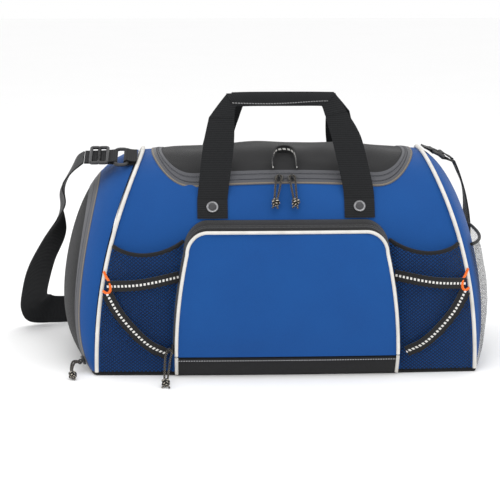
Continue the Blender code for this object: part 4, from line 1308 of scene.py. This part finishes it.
# %% Tabs, rings and looped ends
def strap_frame(side):
    """Where a strap tab leaves the seam: out, across and up vectors and the place."""
    t = 0.395 if side < 0 else 0.505
    here, ahead = (Vector(body_points(side, np.array(k))) for k in (t, t + 0.002))
    across = (ahead - here).normalized()
    out = Vector((-1, 0, 0)) if side < 0 else Vector((cos(radians(24)), 0, -sin(radians(24))))
    across = (across - out * across.dot(out)).normalized()
    up = out.cross(across)
    up = up if up.z > 0 else -up
    lift = 0.0034 if side < 0 else 0.0042
    return here + Vector((side * 0.0044, 0, 0)) + up * lift, out, across, up


def looped(name, start, eye, frame_of, body, node):
    """Webbing doubled round a bar: a flat leg, a half turn and the leg back."""
    place, out, across, up = frame_of
    way = 1 if eye > start else -1
    angle = np.linspace(pi / 2, -pi / 2, 17)
    turn = [(eye + way * 0.0030 * cos(a), 0.0030 * sin(a)) for a in angle]
    leg = [(start + (eye - start) * k, 0.0011 + 0.0019 * k**3) for k in np.linspace(0, 1, 14)]
    line = np.array(leg[:-1] + turn + [(x, -h) for x, h in leg[-2::-1]])
    v = np.linspace(-0.0165, 0.0165, 9)[:, None, None]
    points = (
        np.array(place) + line[None, :, :1] * np.array(out) + line[None, :, 1:] * np.array(up)
        + v * np.array(across)
    )
    mesh = grid_mesh(name, points, walked(points))
    piece(name, mesh, black_webbing, body, (node,), 0.0014)


BAR, REACH = 0.0125, 0.0275
ends = []
for side, hand in ((-1, "left"), (1, "right")):
    seat = strap_frame(side)
    place, out, across, up = seat
    looped(f"strap_tab_{hand}", 0.0, BAR, seat, "bag", f"strap_tab_{hand}")
    tail = 0.0665 if side < 0 else 0.0410
    looped(f"strap_end_{hand}", tail, REACH, seat, "bag", f"strap_end_{hand}")
    ring = []
    for k, (cx, cy) in enumerate(((1, 1), (-1, 1), (-1, -1), (1, -1))):
        for a in np.linspace(0, pi / 2, 8):
            angle = k * pi / 2 + a
            px = (BAR + REACH) / 2 + cx * 0.0015 + 0.006 * cos(angle)
            py = cy * 0.0162 + 0.006 * sin(angle)
            ring.append(place + out * px + across * py)
    tube(f"strap_ring_{hand}", ring, 0.0023, black_plastic, "bag",
         (f"strap_ring_{hand}",), closed=True, hint=tuple(up))
    ends.append(place + out * (tail + (0.0012 if side < 0 else 0.0026)))


# %% Adjuster: a frame of two long bars and a middle bar
place, out, across, up = strap_frame(-1)
for k, (near, far) in enumerate(((0.0376, 0.048), (0.048, 0.0584))):
    loop = []
    for j, (cx, cy) in enumerate(((1, 1), (-1, 1), (-1, -1), (1, -1))):
        for a in np.linspace(0, pi / 2, 6):
            angle = j * pi / 2 + a
            px = (near + far) / 2 + cx * ((far - near) / 2 - 0.0025) + 0.0025 * cos(angle)
            py = cy * 0.0190 + 0.0025 * sin(angle)
            loop.append(place + out * px + across * py + up * 0.0027)
    tube(f"strap_adjuster_{k}", loop, 0.0022, black_plastic, "bag",
         ("strap_adjuster",) if k == 0 else (), closed=True, hint=tuple(up), around=12)
print("strap runs from", [round(c, 3) for c in ends[0]], "to", [round(c, 3) for c in ends[1]])

# %% The strap
STRAP_ROUTE = [
    # centre x, y, z and half-width vector x, y, z
    (-0.2680, -0.0320, 0.2530, 0.0030, 0.0170, 0.0080),
    (-0.2800, -0.0120, 0.2310, 0.0040, 0.0175, 0.0060),
    (-0.2880, 0.0120, 0.2000, -0.0040, 0.0165, 0.0060),
    (-0.3020, 0.0400, 0.1480, 0.0150, 0.0090, 0.0060),
    (-0.3230, 0.0680, 0.1030, 0.0180, 0.0030, 0.0050),
    (-0.3350, 0.0950, 0.0650, 0.0185, 0.0010, 0.0060),
    (-0.3400, 0.1180, 0.0380, 0.0185, 0.0000, 0.0120),
    (-0.3330, 0.1330, 0.0250, 0.0150, 0.0020, 0.0190),
    (-0.3100, 0.1440, 0.0205, 0.0030, 0.0010, 0.0190),
    (-0.2600, 0.1520, 0.0200, 0.0000, 0.0000, 0.0190),
    (-0.1200, 0.1560, 0.0200, 0.0000, 0.0000, 0.0190),
    (0.0200, 0.1540, 0.0200, 0.0000, 0.0000, 0.0190),
    (0.1300, 0.1580, 0.0205, 0.0000, 0.0000, 0.0190),
    (0.1950, 0.1620, 0.0320, -0.0040, 0.0010, 0.0185),
    (0.2420, 0.1450, 0.0650, -0.0080, 0.0060, 0.0160),
    (0.2620, 0.1080, 0.1100, -0.0040, 0.0140, 0.0120),
    (0.2600, 0.0720, 0.1580, -0.0020, 0.0170, 0.0080),
    (0.2500, 0.0400, 0.2020, 0.0000, 0.0175, 0.0060),
    (0.2360, 0.0160, 0.2340, 0.0000, 0.0180, 0.0020),
]
rows = [(*ends[0], *(strap_frame(-1)[2] * 0.0165)), *STRAP_ROUTE]
rows.append((*ends[1], *(strap_frame(1)[2] * 0.0165)))
ribbon("shoulder_strap", rows, 620, 0.0017, black_webbing, "strap", "shoulder_strap")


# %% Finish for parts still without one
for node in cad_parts.values():
    if not node.data.materials:
        node.data.materials.append(black_cloth)
